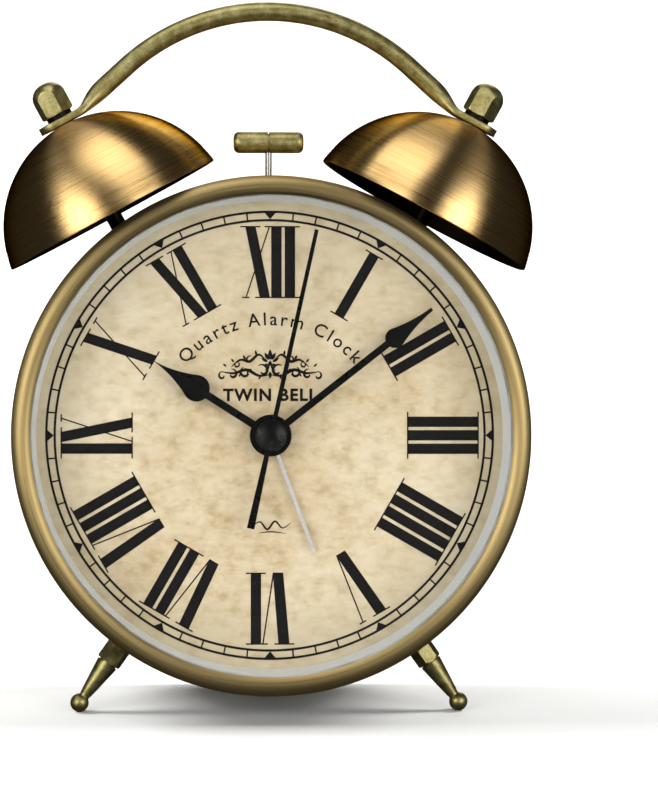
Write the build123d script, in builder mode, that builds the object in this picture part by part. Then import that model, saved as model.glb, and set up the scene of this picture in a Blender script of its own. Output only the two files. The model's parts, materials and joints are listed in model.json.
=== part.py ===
from build123d import *
import os
from math import asin, atan, cos, pi, radians, sin, sqrt

os.makedirs("parts", exist_ok=True)

# A twin-bell quartz alarm clock, in millimetres, +Z up, front towards -Y.
# The clock leans back on two ball feet and the rear bead of its case, so every piece is placed
# from the dial's plane: x to the right, z up along the dial, and "front" along the dial's normal,
# measured from the plane that holds the bells, the handle and the hammer.

# ---- driving dimensions ----------------------------------------------------------------------
case_radius = 54.0          # outside of the drum
case_wall = 1.0
case_front, case_rear = 14.2, -23.3
bead_radius, bead_ring = 0.7, 53.6       # rolled bead round the rear edge
bezel_roll, bezel_ring_radius, bezel_crest = 2.4, 52.1, 15.4
bezel_opening = 50.4
seat_back, dial_back, dial_front = 5.9, 6.5, 7.0
lens_back, lens_front = 14.6, 16.1
dial_opening = 49.2

bell_ball, bell_wall, bell_depth = 24.5, 0.9, 21.8
bell_x, bell_z, bell_tilt = 32.92, 46.5, 28.5
stud_radius, stud_clear = 1.25, 0.05
tab_thick, washer_thick = 1.6, 0.9
nut_flats, nut_height = 6.4, 7.1

tube_radius, handle_top, handle_bend, handle_spread = 2.0, 89.75, 44.5, 42.5

leg_angle, leg_front = 35.4, 3.5
leg_collar, leg_neck, foot_centre, foot_radius = 58.8, 67.6, 69.2, 1.95

module_half, module_wall = 28.0, 1.2
module_front, module_rear = 6.4, -6.7
cover_front, cover_rear = -21.0, -22.8
knob_front, knob_rear = -24.3, -27.8
fit = 0.05                  # radial running clearance of every shaft

second_bore, minute_pipe, hour_pipe, alarm_pipe = 0.5, 0.95, 1.5, 2.1
hour_angle, minute_angle, second_angle, alarm_angle = 302.5, 51.9, 12.5, 159.4

third_at, intermediate_at, rotor_at = (-5.9, 3.4), (3.5, -6.06), (8.7, -9.06)
motion_at, time_knob_at, alarm_knob_at = (0.0, 8.0), (-7.6, 10.46), (8.2, 5.72)
hammer_pivot, hammer_head_z, hammer_length = 36.0, 62.0, 14.8
motor_at, cam_at = (-8.6, 29.65), (0.0, 27.0)
bracket_front = -11.5

# ---- how the clock stands --------------------------------------------------------------------
# The ball feet and the rear bead touch the floor together: solve for the lean that levels them.
foot_drop = foot_centre * cos(radians(leg_angle))
base_length = leg_front - case_rear
base_rise = foot_drop - bead_ring
level = (foot_radius - bead_radius) / sqrt(base_length**2 + base_rise**2)
lean = asin(level) + atan(base_rise / base_length)
front_reach = bezel_crest * cos(lean) + bezel_ring_radius * sin(lean) + bezel_roll
rear_reach = -case_rear * cos(lean) + bead_ring * sin(lean) + bead_radius
axis_height = foot_drop * cos(lean) - leg_front * sin(lean) + foot_radius

TO_FRONT = Vector(0, -cos(lean), sin(lean))
UPWARD = Vector(0, sin(lean), cos(lean))
clock = Plane(origin=(0, (front_reach - rear_reach) / 2, axis_height), x_dir=(1, 0, 0), z_dir=TO_FRONT)


def layer(front):
    """A plane parallel to the dial, this far in front of the bells' plane."""
    return clock.offset(front)


def turned(x=0, z=0):
    """The half-plane through (x, z) on which a piece turned about a line square to the dial is
    drawn: its x is the radius and its y the distance to the front. The line comes with it."""
    foot = clock.from_local_coords(Vector(x, z, 0))
    return Plane(foot, x_dir=(1, 0, 0), z_dir=-UPWARD), Axis(foot, TO_FRONT)


def radial(x, z, tilt, front=0.0):
    """A plane at (x, z) whose z leans outward from upward by the tilt, and whose x is outboard."""
    out = UPWARD * cos(radians(tilt)) + Vector(1, 0, 0) * sin(radians(tilt))
    across = Vector(1, 0, 0) * cos(radians(tilt)) - UPWARD * sin(radians(tilt))
    return Plane(clock.from_local_coords(Vector(x, z, front)), x_dir=across, z_dir=out)


def profile(plane):
    """The half-plane of a radial plane on which its turned pieces are drawn, and their axis."""
    return Plane(plane.origin, x_dir=plane.x_dir, z_dir=-plane.y_dir), Axis(plane.origin, plane.z_dir)


def add_disc(radius, back, front, at=(0, 0), mode=Mode.ADD):
    """Add a round boss, or cut a round hole, between two layers."""
    with BuildSketch(layer(back)) as outline:
        with Locations(at):
            Circle(radius)
    extrude(outline.sketch, amount=front - back, mode=mode)


def add_block(width, height, back, front, at=(0, 0), corner=0.0, mode=Mode.ADD):
    """Add a block, or cut a pocket, between two layers."""
    with BuildSketch(layer(back)) as outline:
        with Locations(at):
            if corner:
                RectangleRounded(width, height, corner)
            else:
                Rectangle(width, height)
    extrude(outline.sketch, amount=front - back, mode=mode)


def add_gear(pitch_radius, teeth, back, front, at=(0, 0)):
    """Add a toothed rim. The teeth stop short of the pitch circle, so meshed rims stay clear."""
    root = pitch_radius - 0.32
    half = pi * pitch_radius / teeth / 2.2
    tooth = [(-0.1, -half), (0.27, -half * 0.5), (0.27, half * 0.5), (-0.1, half)]
    with BuildSketch(layer(back)) as outline:
        with Locations(at):
            Circle(root)
            with PolarLocations(root, teeth):
                Polygon(*tooth, align=None)
    extrude(outline.sketch, amount=front - back)


def write(piece, label):
    """Label a finished piece and write it to its own file."""
    piece.part.label = label
    export_step(piece.part, f"parts/{label}.step")


# ---- case, bezel, lens and dial --------------------------------------------------------------
section, case_axis = turned()
bells = {"left": radial(-bell_x, bell_z, -bell_tilt), "right": radial(bell_x, bell_z, bell_tilt)}
legs = {
    "left": radial(0, 0, 180 + leg_angle, leg_front),
    "right": radial(0, 0, 180 - leg_angle, leg_front),
}
lug_angles = (90, 210, 330)
lug_ring = 49.0

with BuildPart() as case_body:
    with BuildSketch(section):
        with Locations((case_radius - case_wall / 2, (case_front + case_rear) / 2)):
            Rectangle(case_wall, case_front - case_rear)
        with Locations((bead_ring, case_rear)):
            Circle(bead_radius)
        with Locations(((dial_opening + case_radius - case_wall) / 2 + 0.4, (seat_back + dial_back) / 2)):
            Rectangle(case_radius - case_wall - dial_opening + 0.8, dial_back - seat_back)
    revolve(axis=case_axis)
    with BuildSketch(layer(cover_front)):
        with PolarLocations(lug_ring, len(lug_angles), start_angle=lug_angles[0]):
            Rectangle(9, 7)
    extrude(amount=1.5)
    with BuildSketch(layer(cover_front)):
        with PolarLocations(lug_ring, len(lug_angles), start_angle=lug_angles[0]):
            Circle(1.3)
    extrude(amount=1.5, mode=Mode.SUBTRACT)
    for plane in bells.values():
        with BuildSketch(plane.offset(-12)):
            Circle(stud_radius + stud_clear)
        extrude(amount=12, mode=Mode.SUBTRACT)
    for plane in legs.values():
        with BuildSketch(plane.offset(45)):
            Circle(1.3)
        extrude(amount=12, mode=Mode.SUBTRACT)
    with BuildSketch(Plane(clock.from_local_coords(Vector(0, 50, 0)), x_dir=(1, 0, 0), z_dir=UPWARD)):
        SlotOverall(14.4, 3.2)
    extrude(amount=6, mode=Mode.SUBTRACT)
write(case_body, "case_body")

with BuildPart() as bezel_ring:
    with BuildSketch(section):
        with BuildLine():
            inner_rise = sqrt(bezel_roll**2 - (bezel_ring_radius - bezel_opening) ** 2)
            lip = (bezel_opening, bezel_crest + inner_rise)
            crest = (bezel_ring_radius, bezel_crest + bezel_roll)
            edge = (bezel_ring_radius + bezel_roll, bezel_crest)
            ThreePointArc(lip, crest, edge)
            Polyline(
                edge,
                (edge[0], 11.0),
                (case_radius + fit, 11.0),
                (case_radius + fit, case_front + 0.1),
                (case_radius - 1.1, lens_front),
                (bezel_opening, lens_front),
                lip,
            )
        make_face()
    revolve(axis=case_axis)
write(bezel_ring, "bezel_ring")

with BuildPart() as lens_glass:
    add_disc(52.4, lens_back, lens_front)
write(lens_glass, "lens_glass")

with BuildPart() as reflector_ring:
    with BuildSketch(section):
        with BuildLine():
            Polyline(
                (dial_opening, dial_front),
                (52.5, dial_front),
                (52.5, dial_front + 0.8),
                (dial_opening + 0.85, dial_front + 0.8),
                (bezel_opening + 0.6, lens_back - 0.8),
                (52.5, lens_back - 0.8),
                (52.5, lens_back),
                (bezel_opening - 0.2, lens_back),
                close=True,
            )
        make_face()
    revolve(axis=case_axis)
write(reflector_ring, "reflector_ring")

with BuildPart() as dial_plate:
    add_disc(52.5, dial_back, dial_front)
    add_disc(3.4, dial_back, dial_front, mode=Mode.SUBTRACT)
write(dial_plate, "dial_plate")

with BuildPart() as dial_nut:
    with BuildSketch(layer(dial_front)):
        RegularPolygon(3.6, 6, major_radius=False)
        Circle(3.3, mode=Mode.SUBTRACT)
    extrude(amount=0.7)
write(dial_nut, "dial_nut")

# ---- bells, studs, nuts and handle -----------------------------------------------------------
sphere_drop = bell_ball - bell_depth
stud_below, spacer_below, nut_below = 8.7, 5.2, 7.1    # lower ends, down from the bell's rim plane
tab_base = bell_depth
washer_base = tab_base + tab_thick
nut_base = washer_base + washer_thick

for side, plane in bells.items():
    half_plane, bell_axis = profile(plane)
    with BuildPart() as bell:
        with BuildSketch(half_plane):
            with Locations((0, -sphere_drop)):
                Circle(bell_ball)
                Circle(bell_ball - bell_wall, mode=Mode.SUBTRACT)
            with Locations((bell_ball + stud_radius + stud_clear, bell_ball)):
                Rectangle(2 * bell_ball, 2 * bell_ball, mode=Mode.INTERSECT)
        revolve(axis=bell_axis)
    write(bell, f"{side}_bell")

with BuildPart() as bell_studs:
    for plane in bells.values():
        with BuildSketch(plane.offset(-stud_below)):
            Circle(stud_radius)
        extrude(amount=stud_below + nut_base + 4.5)
write(bell_studs, "bell_studs")

with BuildPart() as bell_spacers:
    for plane in bells.values():
        with BuildSketch(plane.offset(-spacer_below)):
            Circle(1.75)
            Circle(stud_radius + stud_clear, mode=Mode.SUBTRACT)
        extrude(amount=spacer_below + bell_depth - bell_wall - 0.1)
    with BuildSketch(layer(-8)):
        Circle(case_radius + 0.03)
    extrude(amount=16, mode=Mode.SUBTRACT)
write(bell_spacers, "bell_spacers")

with BuildPart() as bell_stud_nuts:
    for plane in bells.values():
        with BuildSketch(plane.offset(-nut_below)):
            RegularPolygon(2.3, 6, major_radius=False)
            Circle(stud_radius, mode=Mode.SUBTRACT)
        extrude(amount=2.2)
write(bell_stud_nuts, "bell_stud_nuts")

with BuildPart() as lock_washers:
    for plane in bells.values():
        with BuildSketch(plane.offset(washer_base)):
            Circle(2.8)
            Circle(stud_radius + stud_clear, mode=Mode.SUBTRACT)
            with Locations((0, -2)):
                Rectangle(0.5, 3, mode=Mode.SUBTRACT)
        extrude(amount=washer_thick)
write(lock_washers, "lock_washers")

with BuildPart() as cap_nuts:
    for plane in bells.values():
        with BuildSketch(plane.offset(nut_base)):
            RegularPolygon(nut_flats / 2, 6, major_radius=False)
        extrude(amount=nut_height)
    for plane in bells.values():
        with BuildSketch(plane.offset(nut_base)):
            Circle(stud_radius)
        extrude(amount=5, mode=Mode.SUBTRACT)
with BuildPart() as nut_domes:
    for plane in bells.values():
        half_plane, bell_axis = profile(plane)
        with BuildSketch(half_plane):
            with BuildLine():
                shoulder = (3.75, nut_base + 4.2)
                Polyline((0, nut_base - 0.1), (3.3, nut_base - 0.1), (3.75, nut_base + 0.35), shoulder)
                ThreePointArc(shoulder, (2.55, nut_base + 6.25), (0, nut_base + nut_height))
                Line((0, nut_base + nut_height), (0, nut_base - 0.1))
            make_face()
        revolve(axis=bell_axis)
cap_nuts.part = cap_nuts.part & nut_domes.part
write(cap_nuts, "cap_nuts")

bend_x = handle_bend * sin(radians(handle_spread))
bend_z = handle_top - handle_bend * (1 - cos(radians(handle_spread)))
straight_end = 6.6           # straight run of each side below the bend
flat_inboard, flat_outboard, flat_width = 4.0, 5.2, 6.2
tab_length = flat_inboard + flat_outboard + 0.2
square_length = 2.6          # the tab's inboard end is square where it meets the tube

with BuildPart() as carrying_handle:
    with BuildLine(clock) as rail:
        ends = [
            (
                side * (bend_x + straight_end * cos(radians(handle_spread))),
                bend_z - straight_end * sin(radians(handle_spread)),
            )
            for side in (-1, 1)
        ]
        Line(ends[0], (-bend_x, bend_z))
        ThreePointArc((-bend_x, bend_z), (0, handle_top), (bend_x, bend_z))
        Line((bend_x, bend_z), ends[1])
    with BuildSketch(Plane(rail.line @ 0, z_dir=rail.line % 0)):
        Circle(tube_radius)
    sweep(path=rail.line)
    for side, sign, end in (("left", -1, ends[0]), ("right", 1, ends[1])):
        plane = bells[side]
        slope = radians(handle_spread + 3)
        along = Vector(sign * cos(slope), 0, 0) - UPWARD * sin(slope)
        tube_end = clock.from_local_coords(Vector(end[0], end[1], 0))
        flat_start = plane.from_local_coords(Vector(-sign * flat_inboard, 0, tab_base + tab_thick / 2))
        middle = (tube_end + flat_start) * 0.5 - plane.z_dir * 0.25
        with BuildSketch(Plane(tube_end, x_dir=TO_FRONT, z_dir=rail.line % (0 if sign < 0 else 1) * sign)):
            Circle(tube_radius)
        with BuildSketch(Plane(middle, x_dir=TO_FRONT, z_dir=along)):
            Ellipse(2.55, 1.4)
        with BuildSketch(Plane(flat_start, x_dir=TO_FRONT, z_dir=plane.x_dir * sign)):
            Ellipse(flat_width / 2, tab_thick / 2)
        loft()
        with BuildSketch(plane.offset(tab_base)):
            with Locations((sign * (flat_outboard - tab_length / 2), 0)):
                SlotOverall(tab_length, flat_width)
            Circle(stud_radius + stud_clear, mode=Mode.SUBTRACT)
            with Locations((-sign * (flat_inboard - square_length / 2), 0)):
                Rectangle(square_length, flat_width)
        extrude(amount=tab_thick)
write(carrying_handle, "carrying_handle")

# ---- legs ------------------------------------------------------------------------------------
for side, plane in legs.items():
    half_plane, leg_axis = profile(plane)
    with BuildPart() as leg:
        with BuildSketch(half_plane):
            with BuildLine():
                neck_rise = sqrt(foot_radius**2 - 1.1**2)
                Polyline(
                    (0, 49.6),
                    (1.25, 49.6),
                    (1.25, leg_collar - 0.2),
                    (2.2, leg_collar - 0.2),
                    (2.2, leg_collar),
                    (1.1, foot_centre - neck_rise),
                )
                ThreePointArc(
                    (1.1, foot_centre - neck_rise),
                    (foot_radius, foot_centre),
                    (0, foot_centre + foot_radius),
                )
                Line((0, foot_centre + foot_radius), (0, 49.6))
            make_face()
        revolve(axis=leg_axis)
        with BuildSketch(plane.offset(case_radius)):
            RegularPolygon(4.75 / 2, 6, major_radius=False)
        extrude(amount=leg_collar - case_radius)
    write(leg, f"{side}_leg")

with BuildPart() as leg_nuts:
    for plane in legs.values():
        with BuildSketch(plane.offset(50.5)):
            RegularPolygon(2.0, 6, major_radius=False)
            Circle(1.25, mode=Mode.SUBTRACT)
        extrude(amount=2.3)
write(leg_nuts, "leg_nuts")

# ---- quartz movement: shells and train plate -------------------------------------------------
inside = module_half * 2 - module_wall * 2
rear_inside, front_inside = module_rear + 1.0, module_front - 1.0
bush_radius = 3.3
arbor, pivot = 0.9, 0.4
plate_back, plate_front = -2.9, -2.1
posts = [(-11.5, -11.5), (11.5, 11.5), (-11.5, 11.5), (1.6, -12.3)]

with BuildPart() as movement_front_shell:
    add_block(module_half * 2, module_half * 2, 0, module_front, corner=4)
    add_block(inside, inside, 0, front_inside, corner=3, mode=Mode.SUBTRACT)
    add_disc(bush_radius, front_inside, 7.9)
    add_disc(alarm_pipe + fit, front_inside, 7.9, mode=Mode.SUBTRACT)
write(movement_front_shell, "movement_front_shell")

with BuildPart() as movement_rear_shell:
    add_block(module_half * 2, module_half * 2, module_rear, 0, corner=4)
    add_block(inside, inside, rear_inside, 0, corner=3, mode=Mode.SUBTRACT)
    for at in posts:
        add_disc(0.9, rear_inside, plate_back, at)
    for at in ((0, 0), third_at, intermediate_at, rotor_at):
        add_disc(pivot + fit, rear_inside - 0.7, rear_inside, at, Mode.SUBTRACT)
    for at in (time_knob_at, alarm_knob_at):
        add_disc(arbor + fit, module_rear, rear_inside, at, Mode.SUBTRACT)
write(movement_rear_shell, "movement_rear_shell")

with BuildPart() as train_plate:
    add_block(27, 27, plate_back, plate_front, corner=2)
    add_disc(2.25, plate_back, plate_front, mode=Mode.SUBTRACT)
    for at in (third_at, intermediate_at, rotor_at):
        add_disc(pivot + fit, plate_back, plate_front, at, Mode.SUBTRACT)
    for at in (time_knob_at, alarm_knob_at):
        add_disc(arbor + 0.3, plate_back, plate_front, at, Mode.SUBTRACT)
    add_disc(0.6, plate_front, 1.2, motion_at)
write(train_plate, "train_plate")

# ---- stepping motor, board and crystal -------------------------------------------------------
stator_back, stator_front = -3.7, -3.1
with BuildPart() as stator:
    add_block(19.6, 16.4, stator_back, stator_front, (15.2, -13.8))
    add_block(12.6, 5.9, stator_back, stator_front, (15.2, -15.55), mode=Mode.SUBTRACT)
    add_disc(2.8, stator_back, stator_front, rotor_at, Mode.SUBTRACT)
write(stator, "stator")

with BuildPart() as drive_coil:
    add_block(12.4, 6.4, -5.4, -1.4, (15.2, -20.25), corner=1.2)
    add_block(12.4, 3.6, stator_back - 0.05, stator_front + 0.05, (15.2, -20.25), mode=Mode.SUBTRACT)
write(drive_coil, "drive_coil")

with BuildPart() as circuit_board:
    add_block(22, 12, rear_inside, rear_inside + 0.8, (-14.5, -19.6))
    add_disc(2.6, rear_inside + 0.8, rear_inside + 1.8, (-19, -19))
write(circuit_board, "circuit_board")

with BuildPart() as quartz_crystal:
    with BuildSketch(Plane(clock.from_local_coords(Vector(-14, -23, rear_inside + 1.8)), z_dir=(1, 0, 0))):
        Circle(1.0)
    extrude(amount=6.2)
write(quartz_crystal, "quartz_crystal")

# ---- seconds train ---------------------------------------------------------------------------
with BuildPart() as rotor:
    add_disc(pivot, rear_inside - 0.6, plate_front + 0.2, rotor_at)
    add_disc(2.4, stator_back, stator_front, rotor_at)
    add_gear(1.0, 10, -4.9, -3.8, rotor_at)
write(rotor, "rotor")

with BuildPart() as intermediate_wheel:
    add_disc(pivot, rear_inside - 0.6, plate_front + 0.2, intermediate_at)
    add_gear(5.0, 50, -4.5, -4.1, intermediate_at)
    add_gear(1.0, 10, -5.6, -4.5, intermediate_at)
write(intermediate_wheel, "intermediate_wheel")

with BuildPart() as seconds_wheel:
    add_disc(pivot, rear_inside - 0.6, -5.4)
    add_disc(second_bore, -5.5, 11.9)
    add_gear(6.0, 60, -5.45, -5.0)
    add_gear(0.85, 8, -5.0, -4.0)
write(seconds_wheel, "seconds_wheel")

with BuildPart() as third_wheel:
    add_disc(pivot, rear_inside - 0.6, plate_front + 0.2, third_at)
    add_gear(6.0, 60, -4.7, -4.3, third_at)
    add_gear(0.8, 8, -4.3, -3.1, third_at)
write(third_wheel, "third_wheel")

# ---- hand-setting train ----------------------------------------------------------------------
with BuildPart() as centre_wheel:
    add_disc(minute_pipe, -3.9, 11.0)
    add_gear(6.0, 64, -3.85, -3.4)
    add_gear(2.0, 12, -2.0, -0.6)
    add_disc(second_bore + fit, -3.9, 11.0, mode=Mode.SUBTRACT)
write(centre_wheel, "centre_wheel")

with BuildPart() as motion_wheel:
    add_gear(6.0, 36, -1.6, -1.1, motion_at)
    add_gear(1.6, 10, -1.1, 0.9, motion_at)
    add_disc(0.6 + fit, -1.6, 0.9, motion_at, Mode.SUBTRACT)
write(motion_wheel, "motion_wheel")

with BuildPart() as hour_wheel:
    add_disc(hour_pipe, -0.3, 9.8)
    add_gear(6.4, 40, 0.1, 0.6)
    add_disc(minute_pipe + fit, -0.3, 9.8, mode=Mode.SUBTRACT)
write(hour_wheel, "hour_wheel")

with BuildPart() as alarm_wheel:
    add_disc(alarm_pipe, 1.7, 8.6)
    add_gear(8.0, 60, 2.4, 2.9)
    add_disc(hour_pipe + fit, 1.7, 8.6, mode=Mode.SUBTRACT)
write(alarm_wheel, "alarm_wheel")

with BuildPart() as time_set_shaft:
    add_disc(arbor, knob_rear + 1.0, -0.8, time_knob_at)
    add_gear(2.0, 12, -1.9, -0.8, time_knob_at)
write(time_set_shaft, "time_set_shaft")

with BuildPart() as alarm_set_shaft:
    add_disc(arbor, knob_rear + 1.0, 3.3, alarm_knob_at)
    add_gear(2.0, 15, 2.0, 3.3, alarm_knob_at)
write(alarm_set_shaft, "alarm_set_shaft")

# ---- hands -----------------------------------------------------------------------------------
def hand_plane(front, clock_angle):
    """A layer turned so that its y points where a hand at this angle from twelve points."""
    turn = radians(clock_angle)
    across = Vector(1, 0, 0) * cos(turn) - UPWARD * sin(turn)
    return Plane(layer(front).origin, x_dir=across, z_dir=TO_FRONT)


def add_spade(plane, thick, length, bulb_at, bulb, bar, tip):
    """Add a spade hand: a bar, a round bulb and two hollow flanks drawn in to the tip."""
    with BuildSketch(plane) as outline:
        with Locations((0, bulb_at / 2)):
            Rectangle(bar, bulb_at)
        with Locations((0, bulb_at)):
            Circle(bulb)
        with BuildLine():
            left, right = (-bulb * 0.9, bulb_at + bulb * 0.44), (bulb * 0.9, bulb_at + bulb * 0.44)
            waist = bulb_at + bulb * 0.44 + (length - bulb_at) * 0.34
            Spline(left, (-bulb * 0.42, waist), (-tip, length - 0.3))
            Polyline((-tip, length - 0.3), (-tip * 0.5, length), (tip * 0.5, length), (tip, length - 0.3))
            Spline((tip, length - 0.3), (bulb * 0.42, waist), right)
            Line(right, left)
        make_face()
    extrude(outline.sketch, amount=thick)


def add_hub(outer, inner, back, front):
    """Add a hand's round hub and bore it for its pipe."""
    add_disc(outer, back, front)
    add_disc(inner, back, front, mode=Mode.SUBTRACT)


with BuildPart() as alarm_hand:
    with BuildSketch(hand_plane(8.2, alarm_angle)):
        with Locations((0, 26.2 / 2)):
            Rectangle(0.75, 26.2)
    extrude(amount=0.3)
    add_hub(3.2, alarm_pipe, 8.2, 8.5)
write(alarm_hand, "alarm_hand")

with BuildPart() as hour_hand:
    add_spade(hand_plane(9.3, hour_angle), 0.4, 29.3, 18.5, 2.8, 1.6, 0.15)
    add_hub(4.4, hour_pipe, 9.3, 9.7)
write(hour_hand, "hour_hand")

with BuildPart() as minute_hand:
    add_spade(hand_plane(10.5, minute_angle), 0.4, 43.1, 33.2, 2.1, 1.5, 0.42)
    add_hub(3.9, minute_pipe, 10.5, 10.9)
write(minute_hand, "minute_hand")

with BuildPart() as second_hand:
    with BuildSketch(hand_plane(11.4, second_angle)):
        with BuildLine():
            Polyline((-0.8, -20), (0.8, -20), (0.5, 0), (0.42, 44.3), (-0.42, 44.3), (-0.5, 0), close=True)
        make_face()
    extrude(amount=0.3)
    add_hub(2.4, second_bore, 11.4, 11.7)
write(second_hand, "second_hand")

cap_radius, cap_edge, cap_top = 3.3, 12.3, 13.1
crown = (cap_radius**2 + (cap_top - cap_edge) ** 2) / 2 / (cap_top - cap_edge)
with BuildPart() as hub_cap:
    with BuildSketch(section):
        with BuildLine():
            halfway = asin(cap_radius / crown) / 2
            Polyline((0, cap_top), (0, 11.7), (cap_radius, 11.7), (cap_radius, cap_edge))
            ThreePointArc(
                (cap_radius, cap_edge),
                (crown * sin(halfway), cap_top - crown * (1 - cos(halfway))),
                (0, cap_top),
            )
        make_face()
    revolve(axis=case_axis)
    add_disc(second_bore, 11.7, 11.9, mode=Mode.SUBTRACT)
write(hub_cap, "hub_cap")

# ---- back cover, battery and its door --------------------------------------------------------
tray_at, cell_rise = (0, -27.5), (-20.0, -35.0)
cell_radius, cell_length, cell_front = 7.25, 49.5, -14.9
switch_at = (23.0, 6.0)
cover_posts = [(-20.0, 38.0), (6.5, 40.0)]

with BuildPart() as back_cover:
    add_disc(52.8, cover_rear, cover_front)
    add_block(55.4, 33.4, cover_front, -6.8, tray_at, corner=1.5)
    add_block(53, 31, cover_rear, -7.6, tray_at, corner=1, mode=Mode.SUBTRACT)
    for at in cover_posts:
        add_disc(2.2, cover_front, bracket_front - 1.0, at)
        add_disc(0.8, bracket_front - 5.0, bracket_front - 1.0, at, Mode.SUBTRACT)
    for at in (time_knob_at, alarm_knob_at):
        add_disc(1.3, cover_rear, cover_front, at, Mode.SUBTRACT)
    add_block(4.2, 10.4, cover_rear, cover_front, switch_at, mode=Mode.SUBTRACT)
    with BuildSketch(layer(cover_rear)):
        with PolarLocations(lug_ring, len(lug_angles), start_angle=lug_angles[0]):
            Circle(1.4)
    extrude(amount=cover_front - cover_rear, mode=Mode.SUBTRACT)
    with BuildSketch(layer(cover_rear)):
        with GridLocations(3.2, 0, 9, 1):
            with Locations((0, 30)):
                SlotOverall(9, 1.2, rotation=90)
    extrude(amount=cover_front - cover_rear, mode=Mode.SUBTRACT)
write(back_cover, "back_cover")

with BuildPart() as back_cover_screws:
    with BuildSketch(layer(cover_rear - 1.1)):
        with PolarLocations(lug_ring, len(lug_angles), start_angle=lug_angles[0]):
            Circle(2.4)
            Rectangle(3.6, 0.6, mode=Mode.SUBTRACT)
            Rectangle(0.6, 3.6, mode=Mode.SUBTRACT)
    extrude(amount=0.7)
    with BuildSketch(layer(cover_rear - 0.4)):
        with PolarLocations(lug_ring, len(lug_angles), start_angle=lug_angles[0]):
            Circle(2.4)
    extrude(amount=0.4)
    with BuildSketch(layer(cover_rear)):
        with PolarLocations(lug_ring, len(lug_angles), start_angle=lug_angles[0]):
            Circle(1.25)
    extrude(amount=5.5)
write(back_cover_screws, "back_cover_screws")

door_rear = cover_rear - 1.1
with BuildPart() as battery_door:
    add_block(57, 35, door_rear, cover_rear, tray_at, corner=2.5)
    for step in range(4):
        add_block(12 - 2 * step, 0.7, door_rear - 0.4, door_rear, (0, -14.5 - 1.6 * step))
write(battery_door, "battery_door")

with BuildPart() as battery_cells:
    for rise in cell_rise:
        start = clock.from_local_coords(Vector(-cell_length / 2, rise, cell_front))
        with BuildSketch(Plane(start, z_dir=(1, 0, 0))):
            Circle(cell_radius)
        extrude(amount=cell_length)
        with BuildSketch(Plane(start + Vector(cell_length, 0, 0), z_dir=(1, 0, 0))):
            Circle(2.7)
        extrude(amount=1.0)
write(battery_cells, "battery_cells")

with BuildPart() as battery_contacts:
    for rise in cell_rise:
        add_block(0.4, 9, -19.4, -10.4, (26.3, rise))
        add_block(0.4, 9, -19.4, -10.4, (-26.3, rise))
        start = clock.from_local_coords(Vector(-26.1, rise, cell_front))
        for coil in range(3):
            with BuildSketch(Plane(start + Vector(0.43 * coil, 0, 0), z_dir=(1, 0, 0))):
                Circle(3.4 - 0.5 * coil)
            extrude(amount=0.45)
write(battery_contacts, "battery_contacts")

# ---- knobs and alarm switch ------------------------------------------------------------------
def build_knob(at, radius, flutes):
    """A fluted knob pushed on its shaft."""
    with BuildPart() as knob:
        with BuildSketch(layer(knob_rear)):
            with Locations(at):
                Circle(radius)
                with PolarLocations(radius + 0.35, flutes):
                    Circle(0.6, mode=Mode.SUBTRACT)
        extrude(amount=knob_front - knob_rear)
        add_disc(2.0, knob_front, knob_front + 1.2, at)
        add_disc(arbor, knob_rear + 1.0, knob_front + 1.2, at, Mode.SUBTRACT)
    return knob


time_knob = build_knob(time_knob_at, 6.0, 24)
write(time_knob, "time_knob")
alarm_knob = build_knob(alarm_knob_at, 5.0, 20)
write(alarm_knob, "alarm_knob")

switch_travel = 4.0
with BuildPart() as alarm_switch_body:
    add_block(9, 14, -19.2, -14.0, switch_at, corner=0.8)
    for rise in (-6.2, 6.2):
        add_block(9, 1.6, cover_front, -19.2, (switch_at[0], switch_at[1] + rise))
write(alarm_switch_body, "alarm_switch_body")

with BuildPart() as alarm_switch_slider:
    thumb_at = (switch_at[0], switch_at[1] - switch_travel / 2)
    add_block(3.8, 5.6, -24.0, -19.3, thumb_at, corner=0.6)
    for step in (-1.6, 0, 1.6):
        add_block(3.0, 0.7, -24.5, -24.0, (thumb_at[0], thumb_at[1] + step))
write(alarm_switch_slider, "alarm_switch_slider")

# ---- ringer ----------------------------------------------------------------------------------
motor_radius, motor_length = 6.0, 8.0
pin_radius = 1.0
with BuildPart() as ringer_bracket:
    add_block(36, 28, bracket_front - 1.0, bracket_front, (-6, 32), corner=3)
    add_disc(1.6, bracket_front - 1.0, bracket_front, motor_at, Mode.SUBTRACT)
    add_disc(0.8, bracket_front, bracket_front + 1.6, cam_at)
    add_disc(pin_radius, bracket_front - 1.0, bracket_front, (0, hammer_pivot), Mode.SUBTRACT)
    for at in cover_posts:
        add_disc(1.0, bracket_front - 1.0, bracket_front, at, Mode.SUBTRACT)
write(ringer_bracket, "ringer_bracket")

with BuildPart() as bracket_screws:
    for at in cover_posts:
        add_disc(0.8, bracket_front - 4.5, bracket_front, at)
        add_disc(1.8, bracket_front, bracket_front + 1.0, at)
write(bracket_screws, "bracket_screws")

with BuildPart() as ringer_motor:
    add_disc(motor_radius, bracket_front - 1.0 - motor_length, bracket_front - 1.0, motor_at)
    add_disc(1.5, bracket_front - 1.0, bracket_front, motor_at)
    add_disc(0.95, bracket_front - 8.5, bracket_front + 0.4, motor_at, Mode.SUBTRACT)
write(ringer_motor, "ringer_motor")

with BuildPart() as motor_pinion:
    add_disc(0.9, bracket_front - 8.0, bracket_front + 0.3, motor_at)
    add_gear(1.5, 10, bracket_front + 0.3, bracket_front + 1.6, motor_at)
write(motor_pinion, "motor_pinion")

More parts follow.
